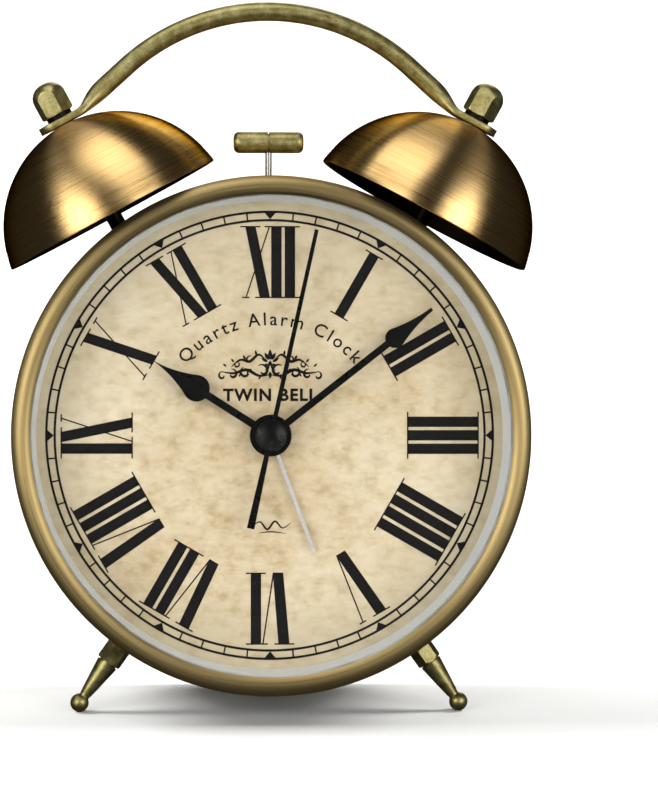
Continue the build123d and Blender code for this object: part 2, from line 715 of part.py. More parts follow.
crank = 1.4
with BuildPart() as cam_gear:
    add_gear(7.5, 50, bracket_front + 0.3, bracket_front + 1.1, cam_at)
    add_disc(0.8 + fit, bracket_front + 0.3, bracket_front + 1.1, cam_at, Mode.SUBTRACT)
    add_disc(0.55, bracket_front + 1.1, bracket_front + 1.7, (cam_at[0], cam_at[1] + crank + 0.2))
write(cam_gear, "cam_gear")

with BuildPart() as hammer_pivot_pin:
    add_disc(pin_radius, bracket_front - 1.0, 2.4, (0, hammer_pivot))
    add_disc(1.8, 1.8, 2.4, (0, hammer_pivot))
write(hammer_pivot_pin, "hammer_pivot_pin")

rod_radius, rod_start = 0.7, 41.0
with BuildPart() as hammer_lever:
    add_disc(2.3, -9.6, 1.6, (0, hammer_pivot))
    add_block(3.4, 9.5, -1.6, 1.6, (0, hammer_pivot + 4.0))
    add_block(5.4, 15.4, -9.6, -8.4, (0, hammer_pivot - 6.6), corner=0.8)
    add_block(1.7, 7.0, -9.6, -8.4, (0, hammer_pivot - 9.5), mode=Mode.SUBTRACT)
    add_disc(pin_radius + fit, -9.6, 1.6, (0, hammer_pivot), Mode.SUBTRACT)
    with BuildSketch(Plane(clock.from_local_coords(Vector(0, rod_start, 0)), x_dir=(1, 0, 0), z_dir=UPWARD)):
        Circle(rod_radius)
    extrude(amount=10, mode=Mode.SUBTRACT)
write(hammer_lever, "hammer_lever")

with BuildPart() as hammer_rod:
    with BuildSketch(Plane(clock.from_local_coords(Vector(0, rod_start, 0)), x_dir=(1, 0, 0), z_dir=UPWARD)):
        Circle(rod_radius)
    extrude(amount=hammer_head_z - 0.6 - rod_start)
write(hammer_rod, "hammer_rod")

with BuildPart() as hammer_head:
    head_start = clock.from_local_coords(Vector(-hammer_length / 2, hammer_head_z, 0))
    half = hammer_length / 2
    with BuildSketch(Plane(head_start, x_dir=UPWARD, z_dir=-TO_FRONT)):
        with BuildLine():
            Polyline(
                (0, 0),
                (1.5, 0),
                (2.3, 0.9),
                (2.3, half - 0.2),
                (2.05, half - 0.2),
                (2.05, half + 0.2),
                (2.3, half + 0.2),
                (2.3, hammer_length - 0.9),
                (1.5, hammer_length),
                (0, hammer_length),
                close=True,
            )
        make_face()
    revolve(axis=Axis(head_start, (1, 0, 0)))
    with BuildSketch(Plane(clock.from_local_coords(Vector(0, rod_start, 0)), x_dir=(1, 0, 0), z_dir=UPWARD)):
        Circle(rod_radius)
    extrude(amount=hammer_head_z - 0.6 - rod_start, mode=Mode.SUBTRACT)
write(hammer_head, "hammer_head")
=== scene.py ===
import json
import math

import bmesh
import bpy
import numpy as np
from mathutils import Matrix, Vector


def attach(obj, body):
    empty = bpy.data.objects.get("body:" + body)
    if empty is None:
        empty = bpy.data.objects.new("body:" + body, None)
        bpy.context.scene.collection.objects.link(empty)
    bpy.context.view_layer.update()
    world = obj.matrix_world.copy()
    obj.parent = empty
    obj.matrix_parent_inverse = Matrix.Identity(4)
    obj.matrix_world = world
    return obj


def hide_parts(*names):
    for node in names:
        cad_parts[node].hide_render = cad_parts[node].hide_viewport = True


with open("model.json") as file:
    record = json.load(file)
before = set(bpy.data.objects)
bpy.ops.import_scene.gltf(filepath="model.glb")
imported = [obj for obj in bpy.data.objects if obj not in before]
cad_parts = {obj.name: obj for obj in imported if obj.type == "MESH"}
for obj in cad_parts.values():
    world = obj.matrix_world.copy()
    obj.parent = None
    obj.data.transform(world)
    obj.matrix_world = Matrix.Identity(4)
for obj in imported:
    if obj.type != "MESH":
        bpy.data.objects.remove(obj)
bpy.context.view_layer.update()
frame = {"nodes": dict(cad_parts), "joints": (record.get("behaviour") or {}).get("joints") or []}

# ---- Where the clock stands --------------------------------------------------------------------
# The clock leans back on its feet, so its pieces are placed in the clock's own directions: across to
# the right, up along the dial, and out of the dial towards the viewer. The hands turn about the last.
joints = {joint["name"]: joint for joint in frame["joints"]}
out = -np.array(joints["minute_spin"]["axis"], float)
across = np.array([1.0, 0.0, 0.0])
up = np.cross(out, across)
on_axis = np.array(joints["minute_spin"]["pos_m"], float)
hammer_pin = np.array(joints["hammer_swing"]["pos_m"], float)
heart = on_axis + out * np.dot(hammer_pin - on_axis, out)
lean = math.atan2(up[1], up[2])
MM = 0.001


def place(x, z, front):
    """A point of the clock: x across, z up and front out of the dial, in mm, from the heart, which is
    the point of the hands' axis that lies in the plane of the bells."""
    x, z, front = np.broadcast_arrays(x, z, front)
    return heart + MM * (x[..., None] * across + z[..., None] * up + front[..., None] * out)


# ---- Table, backdrop, light and camera ---------------------------------------------------------
# The clock stands on a pale sweep that curves up behind it. Two soft lamps stand left and right of the
# viewer, so the brushed metal shows two bright lobes, and weaker ones stand above and behind.
def linear(code):
    """An sRGB hex colour as linear light: c/12.92 below 0.04045, else ((c + 0.055)/1.055)^2.4."""
    parts = [int(code[i : i + 2], 16) / 255 for i in (1, 3, 5)]
    return tuple(c / 12.92 if c <= 0.04045 else ((c + 0.055) / 1.055) ** 2.4 for c in parts) + (1.0,)


def add_node(material, kind, inputs=None, stops=(), **settings):
    """Add a node with its settings; an input is a value, or an (other node, output name) pair, and a
    ramp's stops are (position, hex colour) pairs from low to high."""
    node = material.node_tree.nodes.new("ShaderNode" + kind)
    for k, (position, colour) in enumerate(stops):
        if k >= len(node.color_ramp.elements):
            node.color_ramp.elements.new(position)
        node.color_ramp.elements[k].position = position
        node.color_ramp.elements[k].color = linear(colour)
    for name, value in settings.items():
        setattr(node, name, value)
    for name, value in (inputs or {}).items():
        if isinstance(value, tuple) and len(value) == 2 and isinstance(value[0], bpy.types.Node):
            material.node_tree.links.new(value[0].outputs[value[1]], node.inputs[name])
        else:
            node.inputs[name].default_value = value
    return node


def start_material(name):
    """An empty node material and its output node."""
    material = bpy.data.materials.new(name)
    material.use_nodes = True
    material.node_tree.nodes.clear()
    return material, add_node(material, "OutputMaterial")


def finish_material(material, output, shader):
    """Join the last shader to the output."""
    material.node_tree.links.new(shader.outputs[0], output.inputs["Surface"])
    return material


def add_noise(material, spots, scale, detail, roughness=0.5):
    """A noise pattern on the given coordinates."""
    inputs = {"Vector": spots, "Scale": scale, "Detail": detail, "Roughness": roughness}
    return add_node(material, "TexNoise", inputs)


def add_range(material, value, low, high, from_low=0.3, from_high=0.7, **settings):
    """Carry a value over to the range low to high. Noise lies mostly between 0.3 and 0.7."""
    inputs = {"Value": value, "From Min": from_low, "From Max": from_high, "To Min": low, "To Max": high}
    return add_node(material, "MapRange", inputs, **settings)


def add_grid(name, points, closed_u=False, closed_v=False, material=None, crease=35.0):
    """A surface through a grid of points, shape (rows, columns, 3). Cell (i, j) joins its four corners;
    closed_u joins the last row to the first and closed_v the last column to the first. Its UV map runs
    from 0 to 1 along both, and coincident points, such as poles, are merged."""
    rows, columns = points.shape[:2]
    i = np.arange(rows if closed_u else rows - 1)
    j = np.arange(columns if closed_v else columns - 1)
    i, j = np.meshgrid(i, j, indexing="ij")
    i2, j2 = (i + 1) % rows, (j + 1) % columns
    corners = np.stack([i * columns + j, i2 * columns + j, i2 * columns + j2, i * columns + j2], -1)
    corners = corners.reshape(-1, 4)
    mesh = bpy.data.meshes.new(name)
    mesh.from_pydata(points.reshape(-1, 3), [], corners)
    uv = mesh.uv_layers.new(name="UVMap")
    us = np.stack([i, i + 1, i + 1, i], -1).reshape(-1) / max(rows - (not closed_u), 1)
    vs = np.stack([j, j, j + 1, j + 1], -1).reshape(-1) / max(columns - (not closed_v), 1)
    uv.data.foreach_set("uv", np.stack([us, vs], -1).ravel().astype(np.float32))
    return add_mesh(name, mesh, material, crease)


def add_mesh(name, mesh, material, crease=35.0):
    """Put a mesh in the scene, merge its doubled points and turn its faces outwards."""
    work = bmesh.new()
    work.from_mesh(mesh)
    bmesh.ops.remove_doubles(work, verts=work.verts, dist=1e-7)
    bmesh.ops.dissolve_degenerate(work, edges=work.edges, dist=1e-8)
    bmesh.ops.recalc_face_normals(work, faces=work.faces)
    work.to_mesh(mesh)
    work.free()
    mesh.shade_smooth()
    mesh.set_sharp_from_angle(angle=math.radians(crease))
    piece = bpy.data.objects.new(name, mesh)
    bpy.context.scene.collection.objects.link(piece)
    if material:
        mesh.materials.append(material)
    return piece


def add_lamp(name, spot, aim, width, height, power):
    """A rectangular soft lamp at a spot, turned towards the point it lights."""
    data = bpy.data.lights.new(name, "AREA")
    data.shape, data.size, data.size_y = "RECTANGLE", width, height
    data.energy = power
    lamp = bpy.data.objects.new(name, data)
    bpy.context.scene.collection.objects.link(lamp)
    lamp.location = spot
    lamp.rotation_euler = (Vector(aim) - Vector(spot)).to_track_quat("-Z", "Y").to_euler()
    return lamp


sweep_half, sweep_front, sweep_back, sweep_bend, sweep_top = 1.9, -1.6, 1.4, 0.5, 2.0
paper, paper_out = start_material("white_paper_sweep")
paper_shader = add_node(paper, "BsdfPrincipled", {"Base Color": linear("#F4F4F2"), "Roughness": 0.9})
finish_material(paper, paper_out, paper_shader)
turn = np.linspace(0, math.pi / 2, 13)
sweep_y = np.concatenate([[sweep_front], sweep_back + sweep_bend * np.sin(turn), [sweep_back + sweep_bend]])
sweep_z = np.concatenate([[0.0], sweep_bend * (1 - np.cos(turn)), [sweep_top]])
sweep_points = np.stack(
    [
        np.broadcast_to(np.array([-sweep_half, sweep_half])[:, None], (2, len(sweep_y))),
        np.broadcast_to(sweep_y, (2, len(sweep_y))),
        np.broadcast_to(sweep_z, (2, len(sweep_y))),
    ],
    -1,
)
sweep = add_grid("paper_sweep", sweep_points, material=paper)
sweep.visible_glossy = False

middle = Vector(heart)
add_lamp("left_lamp", (-0.64, -0.74, 0.34), middle, 0.66, 0.5, 4.6)
add_lamp("right_lamp", (0.60, -0.76, 0.32), middle, 0.62, 0.5, 4.0)
top_lamp = add_lamp("top_lamp", (-0.15, -0.15, 0.95), middle, 0.8, 0.6, 3.0)
top_lamp.visible_diffuse = False
add_lamp("back_lamp", (0.2, 1.05, 0.75), middle, 0.6, 0.5, 2.2)
floor_lamp = add_lamp("floor_lamp", (-0.75, 0.65, 0.75), (0.0, 0.15, 0.0), 0.6, 0.5, 3.5)
floor_lamp.visible_glossy = False
for side in (-1, 1):
    spot, lit = (side * 1.1, 0.3, 1.1), (side * 0.25, 1.4, 0.2)
    lamp = add_lamp(f"backdrop_lamp_{side + 1}", spot, lit, 0.6, 0.9, 30.0)
    lamp.visible_glossy = False

world = bpy.data.worlds.new("studio_air")
bpy.context.scene.world = world
world.use_nodes = True
world.node_tree.nodes["Background"].inputs["Color"].default_value = (0.80, 0.82, 0.85, 1.0)
world.node_tree.nodes["Background"].inputs["Strength"].default_value = 0.03
bpy.context.scene.view_settings.view_transform = "Standard"

view_distance, view_height = 1.093, 0.1702
view_side, view_rise = math.radians(-3.3), math.radians(0.3)
aim_across, aim_up = 12.85, 7.2
camera_data = bpy.data.cameras.new("camera")
camera = bpy.data.objects.new("camera", camera_data)
bpy.context.scene.collection.objects.link(camera)
bpy.context.scene.camera = camera
camera_data.sensor_fit = "VERTICAL"
camera_data.sensor_height = 36.0
camera_data.lens = camera_data.sensor_height * view_distance / view_height
aim = Vector(place(aim_across, aim_up, 0.0))
sight = out * math.cos(view_side) * math.cos(view_rise) + up * math.sin(view_rise)
sight = sight + across * math.sin(view_side)
camera.location = aim + Vector(sight) * view_distance
backward = (camera.location - aim).normalized()
rightward = Vector(up).cross(backward).normalized()
upward = backward.cross(rightward)
camera.rotation_euler = Matrix((rightward, upward, backward)).transposed().to_euler()
camera_data.clip_start, camera_data.clip_end = 0.05, 20.0


# ---- Bells -------------------------------------------------------------------------------------
# Two domes spun from thin sheet and brushed while they turned, so fine rings run round each bell's
# own axis. The lacquer is a warm copper bronze. Near the rim the spinner left two shallow lines.
bell_x, bell_z, bell_tilt = 32.92, 46.5, 28.5


def bell_frame(side):
    """The centre of a bell's rim, the direction outboard in its rim's plane, and its axis, which leans
    outwards from the clock's upright."""
    tilt = math.radians(bell_tilt)
    axis = up * math.cos(tilt) + across * side * math.sin(tilt)
    outboard = across * side * math.cos(tilt) - up * math.sin(tilt)
    return place(bell_x * side, bell_z, 0.0), outboard, axis


def turned(profile, centre, first, axis, steps, radius=None):
    """A surface of revolution: point (r, h) at angle t is centre + r (cos t first + sin t second)
    + h axis, in mm, where second is axis x first. A radius of its own for each angle can be given."""
    radius = profile[None, :, 0] if radius is None else radius
    t = np.linspace(0, 2 * math.pi, steps, endpoint=False)
    second = np.cross(axis, first)
    ring = np.cos(t)[:, None] * first + np.sin(t)[:, None] * second
    return centre + MM * (radius[..., None] * ring[:, None, :] + profile[None, :, 1, None] * axis)


def brush_ring(piece, centre, first, axis):
    """Store for each point where it lies on the brushing: the cosine and sine of its angle round the
    axis, and its travel across the rings, which is its distance from the centre plus its height, mm."""
    mesh = piece.data
    spots = np.empty(len(mesh.vertices) * 3, np.float32)
    mesh.vertices.foreach_get("co", spots)
    apart = (spots.reshape(-1, 3) - centre) / MM
    height = apart @ axis
    flat = apart - height[:, None] * axis
    radius = np.maximum(np.linalg.norm(flat, axis=1), 1e-6)
    second = np.cross(axis, first)
    marks = np.stack([flat @ first / radius, flat @ second / radius, radius - height], 1)
    layer = mesh.attributes.new("brush", "FLOAT_VECTOR", "POINT")
    layer.data.foreach_set("vector", marks.ravel().astype(np.float32))


def dress(material, output, tint_from, stops, rough_from, low, high, dent_from, depth, dent, rest):
    """The end that the materials share: a ramp of colours, a roughness from low to high and dents of
    the given depth, each from its own pattern, and a Principled shader with the rest of its inputs."""
    tint = add_node(material, "ValToRGB", {"Fac": tint_from}, stops)
    rough = add_range(material, rough_from, low, high)
    bump = add_node(material, "Bump", {"Strength": depth, "Distance": dent, "Height": dent_from})
    shader = add_node(material, "BsdfPrincipled", {
        "Base Color": (tint, "Color"), "Roughness": (rough, "Result"), "Normal": (bump, "Normal"), **rest,
    })
    return finish_material(material, output, shader)


def brushed_metal(name, dark, mid, light, roughness, stretch, ring_mm, depth, anisotropic, edge):
    """Lacquered metal brushed in rings. Streaks are noise drawn out along the ring, one streak about
    ring_mm wide; they tint the colour, lift the roughness and dent the surface."""
    material, output = start_material(name)
    marks = add_node(material, "Attribute", attribute_name="brush")
    fine = add_node(material, "Mapping", {"Vector": (marks, "Vector"),
        "Scale": (stretch, stretch, 1 / ring_mm)})
    streak = add_noise(material, (fine, "Vector"), 1.0, 4.0, 0.65)
    broad = add_node(material, "Mapping", {"Vector": (marks, "Vector"), "Scale": (1.2, 1.2, 0.25 / ring_mm)})
    band = add_noise(material, (broad, "Vector"), 1.0, 2.0)
    both = add_node(material, "Mix", {0: 0.35, 2: (streak, "Fac"), 3: (band, "Fac")})
    stops = [(0.30, dark), (0.50, mid), (0.72, light)]
    along = add_node(material, "Tangent", direction_type="UV_MAP", uv_map="UVMap")
    return dress(material, output, (both, 0), stops, (streak, "Fac"), roughness - 0.05, roughness + 0.10,
                 (streak, "Fac"), depth, 0.00006, {
                     "Metallic": 1.0, "Anisotropic": anisotropic, "Anisotropic Rotation": 0.25,
                     "Tangent": (along, "Tangent"), "Specular Tint": linear(edge),
                 })


def plain_metal(name, dark, light, roughness, grain_mm, metallic=1.0):
    """Plain machined or pressed metal: fine grain tints the colour and breaks up the gloss."""
    material, output = start_material(name)
    spots = add_node(material, "TexCoord")
    grain = add_noise(material, (spots, "Object"), 1 / (grain_mm * MM), 4.0)
    return dress(material, output, (grain, "Fac"), [(0.3, dark), (0.7, light)],
                 (grain, "Fac"), roughness - 0.05, roughness + 0.08, (grain, "Fac"), 0.2, 0.00005,
                 {"Metallic": metallic})


bell_inside = plain_metal("bell_inside_dark_lacquer", "#1E1812", "#30261B", 0.5, 0.8)
copper_bronze = brushed_metal("copper_bronze_brushed_lacquered", "#D6A660", "#FACF88", "#FFE6B0", 0.28, 1.2,
    0.12, 0.28, 0.9, "#5A2E14")
bell_ball, bell_wall, bell_drop = 24.5, 0.9, 2.7
stud_hole = 1.3


def bell_profile():
    """Outside from the stud hole to the rim: a circle of the bell's radius with two shallow spun lines
    and a lip; then the inside back to the hole on a circle one wall smaller."""
    rim_angle = math.asin(bell_drop / bell_ball)
    top_angle = math.acos(stud_hole / bell_ball)
    swing = np.linspace(top_angle, rim_angle, 90)
    height = bell_ball * np.sin(swing) - bell_drop
    line = 0.10 * np.exp(-(((height - 2.6) / 0.16) ** 2)) + 0.10 * np.exp(-(((height - 3.5) / 0.16) ** 2))
    lip = 0.12 * np.exp(-(((height - 0.75) / 0.45) ** 2))
    outer = np.stack([(bell_ball - line + lip * 0.5) * np.cos(swing), height], 1)
    inner_ball = bell_ball - bell_wall
    inner_swing = np.linspace(math.asin(bell_drop / inner_ball), math.acos(stud_hole / inner_ball), 60)
    inner = np.stack([inner_ball * np.cos(inner_swing), inner_ball * np.sin(inner_swing) - bell_drop], 1)
    edge_mid = (outer[-1, 0] + inner[0, 0]) / 2
    rim = np.array([[edge_mid + 0.22, 0.0], [edge_mid - 0.22, 0.0]])
    outer[-1, 1] = 0.12
    inner[0, 1] = 0.12
    return np.concatenate([outer, rim, inner])


for side, name in ((-1, "left_bell"), (1, "right_bell")):
    centre, outboard, axis = bell_frame(side)
    points = turned(bell_profile(), centre, outboard, axis, 220)
    bell = add_grid(f"{name}_dome", points, True, True, copper_bronze, crease=50)
    brush_ring(bell, centre, outboard, axis)
    bell.data.materials.append(bell_inside)
    ball_centre = Vector(centre - axis * bell_drop * MM)
    for face in bell.data.polygons:
        if (face.center - ball_centre).length < (bell_ball - bell_wall / 2) * MM:
            face.material_index = 1
    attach(bell, "clock")
    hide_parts(name)

# ---- Bezel and drum ----------------------------------------------------------------------------
# The bezel is a ring rolled from strip and brushed round and round in an antique brass. The drum
# behind it is drawn from the same sheet, and is brushed across its depth.
antique_brass = brushed_metal("antique_brass_brushed", "#A08A5A", "#BAA26C", "#D6C08A", 0.44, 1.2, 0.14, 0.40,
    0.5, "#8A6434")
roll_radius, roll_ring, roll_front, bezel_mouth, bezel_back = 2.4, 52.1, 15.4, 50.4, 11.0
lens_front = 16.1


def bezel_profile():
    """A rolled section: an arc from the mouth over the crest to the widest circle, a straight skirt,
    and the inside back to the mouth, as (radius, front) points."""
    start = math.pi - math.acos((roll_ring - bezel_mouth) / roll_radius)
    swing = np.linspace(start, 0, 48)
    arc = np.stack([roll_ring + roll_radius * np.cos(swing), roll_front + roll_radius * np.sin(swing)], 1)
    skirt = np.array([[54.5, 13.0], [54.5, bezel_back + 0.25], [54.4, bezel_back + 0.06], [54.2, bezel_back],
        [54.05, bezel_back]])
    inside = np.array([[54.05, 14.3], [52.9, lens_front], [bezel_mouth + 0.1, lens_front]])
    return np.concatenate([arc, skirt, inside])


points = turned(bezel_profile(), heart, across, out, 360)
bezel = add_grid("bezel_rolled_ring", points, True, True, antique_brass, crease=50)
brush_ring(bezel, heart, across, out)
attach(bezel, "clock")
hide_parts("bezel_ring")


def drawn_metal(name, dark, mid, light, roughness, scale_mm, depth, turn_x=0.0):
    """Lacquered sheet brushed round the case: noise stretched along the dial's plane and tight along
    the case's depth, on Object coordinates turned to the clock's lean."""
    material, output = start_material(name)
    spots = add_node(material, "TexCoord")
    level = add_node(material, "Mapping", {"Vector": (spots, "Object"), "Rotation": (turn_x, 0.0, 0.0)})
    fine = add_node(material, "Mapping", {"Vector": (level, "Vector"),
        "Scale": (18.0, 1 / (scale_mm * MM), 18.0)})
    streak = add_noise(material, (fine, "Vector"), 1.0, 4.0, 0.65)
    stops = [(0.30, dark), (0.50, mid), (0.72, light)]
    return dress(material, output, (streak, "Fac"), stops, (streak, "Fac"), roughness - 0.05, roughness + 0.1,
                 (streak, "Fac"), depth, 0.00006,
                 {"Metallic": 1.0, "Coat Weight": 0.15, "Coat Roughness": 0.15})


def finish_node(material, *nodes):
    """Give CAD nodes a material in place of the plain one that they came with."""
    for node in nodes:
        mesh = frame["nodes"][node].data
        mesh.materials.clear()
        mesh.materials.append(material)


drum_brass = drawn_metal("antique_brass_drawn_drum", "#A08A5A", "#BAA26C", "#D6C08A", 0.44, 0.2, 0.3, lean)
finish_node(drum_brass, "case_body")

# ---- Handle, cap nuts and washers --------------------------------------------------------------
# The handle is a bent brass tube whose two ends are pressed flat and clamped under domed hexagon nuts.
# All of it is tumbled, so the greenish brass is soft and mottled.
def tumbled_metal(name, dark, mid, light, roughness, mottle_mm, grain_mm, depth):
    """Tumbled and lacquered brass: broad mottling in the colour, fine grain in height and roughness."""
    material, output = start_material(name)
    spots = add_node(material, "TexCoord")
    mottle = add_noise(material, (spots, "Object"), 1 / (mottle_mm * MM), 5.0, 0.6)
    grain = add_noise(material, (spots, "Object"), 1 / (grain_mm * MM), 3.0)
    both = add_node(material, "Mix", {0: 0.45, 2: (mottle, "Fac"), 3: (grain, "Fac")})
    stops = [(0.36, dark), (0.50, mid), (0.64, light)]
    return dress(material, output, (both, 0), stops, (both, 0), roughness - 0.06, roughness + 0.12,
                 (both, 0), depth, 0.0001, {"Metallic": 1.0, "Coat Weight": 0.2, "Coat Roughness": 0.2})


olive_brass = tumbled_metal("olive_brass_tumbled", "#8A7F4A", "#B3A76A", "#D6CC96", 0.42, 2.0, 0.22, 0.6)
tube_radius, handle_top, handle_bend, handle_spread = 2.0, 89.75, 44.5, math.radians(42.5)
straight_end, flat_in, flat_out, flat_half, flat_thick = 6.6, 4.0, 5.2, 3.1, 1.6
tab_height = 21.8


def handle_path():
    """The right half of the tube's centre line, from the top, as (x, z) with the half width across the
    depth and half thickness: a circular bend, a straight side, a cubic that turns into the tab, the tab."""
    centre, outboard, axis = bell_frame(1)
    swing = np.linspace(0, handle_spread, 60)
    bend = np.stack([handle_bend * np.sin(swing), handle_top - handle_bend * (1 - np.cos(swing))], 1)
    away = np.array([math.cos(handle_spread), -math.sin(handle_spread)])
    straight = bend[-1] + np.linspace(0.5, straight_end, 8)[:, None] * away
    local = (centre - heart) / MM
    origin = np.array([local @ across, local @ up])
    tab_dir = np.array([outboard @ across, outboard @ up])
    tab_up = np.array([axis @ across, axis @ up])
    tab_line = origin + tab_up * (tab_height + flat_thick / 2)
    flat_start = tab_line - flat_in * tab_dir
    s = np.linspace(0, 1, 26)[1:, None]
    start = straight[-1]
    b1, b2 = start + away * 3.8, flat_start - tab_dir * 1.6
    cubic = (1 - s) ** 3 * start + 3 * s * (1 - s) ** 2 * b1 + 3 * s**2 * (1 - s) * b2 + s**3 * flat_start
    run = np.concatenate([np.linspace(-flat_in + 0.4, flat_out - flat_half, 14),
        flat_out - flat_half * (1 - np.sin(np.linspace(0.08, 1, 16) * math.pi / 2))])
    tab = tab_line + run[:, None] * tab_dir
    line = np.concatenate([bend, straight, cubic, tab])
    ease = (3 * s**2 - 2 * s**3)[:, 0]
    before, after = len(bend) + len(straight), len(tab)
    wide, thick = (np.concatenate([np.full(before, tube_radius), tube_radius + (flat - tube_radius) * ease,
        np.full(after, flat)]) for flat in (flat_half, flat_thick / 2))
    end = np.sqrt(np.clip(1 - (np.clip(run - (flat_out - flat_half), 0, None) / flat_half) ** 2, 0, 1))
    wide[-after:] *= np.maximum(end, 0.02)
    return line, wide, thick


def handle_points():
    """Carry a rounded section along the centre line: half axes are the width across the depth and the
    thickness square to the line, and its corners sharpen (a superellipse) as the tube is flattened."""
    line, wide, thick = handle_path()
    mirrored = line[::-1] * np.array([-1.0, 1.0])
    path = np.concatenate([mirrored[:-1], line])
    wide = np.concatenate([wide[::-1][:-1], wide])
    thick = np.concatenate([thick[::-1][:-1], thick])
    slope = np.gradient(path, axis=0)
    slope /= np.linalg.norm(slope, axis=1, keepdims=True)
    square = np.stack([-slope[:, 1], slope[:, 0]], 1)
    t = np.linspace(0, 2 * math.pi, 40, endpoint=False)
    # the section's corners stay square while the rounded end narrows
    power = 1 - 0.7 * np.clip((wide / np.maximum(thick, 0.1) - 1) / 2.5, 0, 1)[:, None]
    c = np.sign(np.cos(t)) * np.abs(np.cos(t)) ** power
    s = np.sign(np.sin(t)) * np.abs(np.sin(t)) ** power
    x = path[:, 0:1] + square[:, 0:1] * s * thick[:, None]
    z = path[:, 1:2] + square[:, 1:2] * s * thick[:, None]
    points = place(x, z, c * wide[:, None])
    tips = [np.repeat(points[k].mean(0)[None, None], points.shape[1], 1) for k in (0, -1)]
    return np.concatenate([tips[0], points, tips[1]])


handle = add_grid("handle_bent_tube", handle_points(), False, True, olive_brass, crease=60)
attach(handle, "clock")
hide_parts("carrying_handle")


def six_sided(profile, apothem, low, high, centre, first, axis, steps=144):
    """A turned profile cut by a hexagon: between heights low and high the radius is the smaller of the
    profile's and the hexagon's, whose side stands at apothem / cos of the angle from its middle."""
    t = np.linspace(0, 2 * math.pi, steps, endpoint=False)
    side = apothem / np.cos((t + math.pi / 6) % (math.pi / 3) - math.pi / 6)
    inside = (profile[:, 1] >= low) & (profile[:, 1] <= high)
    radius = np.where(inside[None, :], np.minimum(profile[None, :, 0], side[:, None]), profile[None, :, 0])
    return turned(profile, centre, first, axis, steps, radius)


nut_base, nut_height, nut_apothem, nut_round, nut_turn = 24.3, 7.1, 3.2, 3.75, math.radians(16)
for side, name in ((-1, "left"), (1, "right")):
    centre, outboard, axis = bell_frame(side)
    dome = np.linspace(0, math.pi / 2, 26)
    shoulder = 3.6
    sides = [[0.0, 0.0], [3.25, 0.0], [3.55, 0.12], [3.7, 0.4], [nut_round, 0.8], [nut_round, 1.6],
        [nut_round, 2.6]]
    crown = np.stack([nut_round * np.cos(dome) ** 0.8,
        shoulder + (nut_height - shoulder) * np.sin(dome) ** 1.1], 1)
    profile = np.concatenate([sides, crown])
    profile[:, 1] += nut_base
    profile[-1, 0] = 0.0
    turned_first = outboard * math.cos(nut_turn) + np.cross(axis, outboard) * math.sin(nut_turn)
    points = six_sided(profile, nut_apothem, 0, 99, centre, turned_first, axis)
    nut = add_grid(f"{name}_domed_nut", points, True, False, olive_brass, crease=28)
    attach(nut, "clock")
    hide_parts("cap_nuts")

# ---- Legs --------------------------------------------------------------------------------------
# Each leg is one brass bar turned to a taper with a ball foot. A hexagon is left near the case, so
# that a spanner can screw the leg in, and a narrow groove parts the hexagon from the taper.
leg_angle, leg_front, leg_turn, leg_apothem = math.radians(35.4), 3.5, math.radians(20), 2.375
leg_collar, foot_centre, foot_radius, foot_neck = 58.8, 69.2, 1.95, 1.1
for side, name in ((-1, "left_leg"), (1, "right_leg")):
    axis = across * side * math.sin(leg_angle) - up * math.cos(leg_angle)
    outboard = across * side * math.cos(leg_angle) + up * math.sin(leg_angle)
    turned_first = outboard * math.cos(leg_turn) + np.cross(axis, outboard) * math.sin(leg_turn)
    centre = place(0.0, 0.0, leg_front)
    neck = math.sqrt(foot_radius**2 - foot_neck**2)
    ball = np.linspace(-math.asin(neck / foot_radius), math.pi / 2, 24)
    profile = np.concatenate([
        [[0.0, 53.7], [1.9, 53.7], [2.5, 53.95], [2.75, 54.5], [2.75, 56.4], [2.75, 58.5]],
        [[2.5, leg_collar - 0.04], [1.95, leg_collar], [1.92, leg_collar + 0.22], [2.3, leg_collar + 0.26]],
        [[2.25, 59.6], [1.65, 64.0], [1.2, 66.9], [1.08, 67.3]],
        np.stack([foot_radius * np.cos(ball), foot_centre + foot_radius * np.sin(ball)], 1),
    ])
    profile[-1, 0] = 0.0
    points = six_sided(profile, leg_apothem, 53.0, leg_collar, centre, turned_first, axis, 120)
    leg = add_grid(f"{name}_turned", points, True, False, olive_brass, crease=28)
    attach(leg, "clock")
    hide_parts(name)

# ---- Hammer ------------------------------------------------------------------------------------
# The head is a short brass bar, rounded at both ends with a groove turned round its middle, on a
# thin steel rod that passes through a slot in the case.
half_head, head_radius, head_rise = 7.4, 2.3, 62.0
head_profile = np.array([
    [0.0, -half_head], [1.2, -half_head], [1.6, -half_head + 0.1], [2.0, -half_head + 0.4],
    [2.24, -half_head + 0.85], [head_radius, -half_head + 1.3], [head_radius, -0.24], [2.22, -0.16],
    [1.9, -0.13], [1.9, 0.13], [2.22, 0.16], [head_radius, 0.24], [head_radius, half_head - 1.3],
    [2.24, half_head - 0.85], [2.0, half_head - 0.4], [1.6, half_head - 0.1], [1.2, half_head],
    [0.0, half_head],
])
points = turned(head_profile, place(0.0, head_rise, 0.0), up, across, 72)
head = add_grid("hammer_head_bar", points, True, False, olive_brass, crease=28)
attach(head, "hammer_group")
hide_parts("hammer_head")


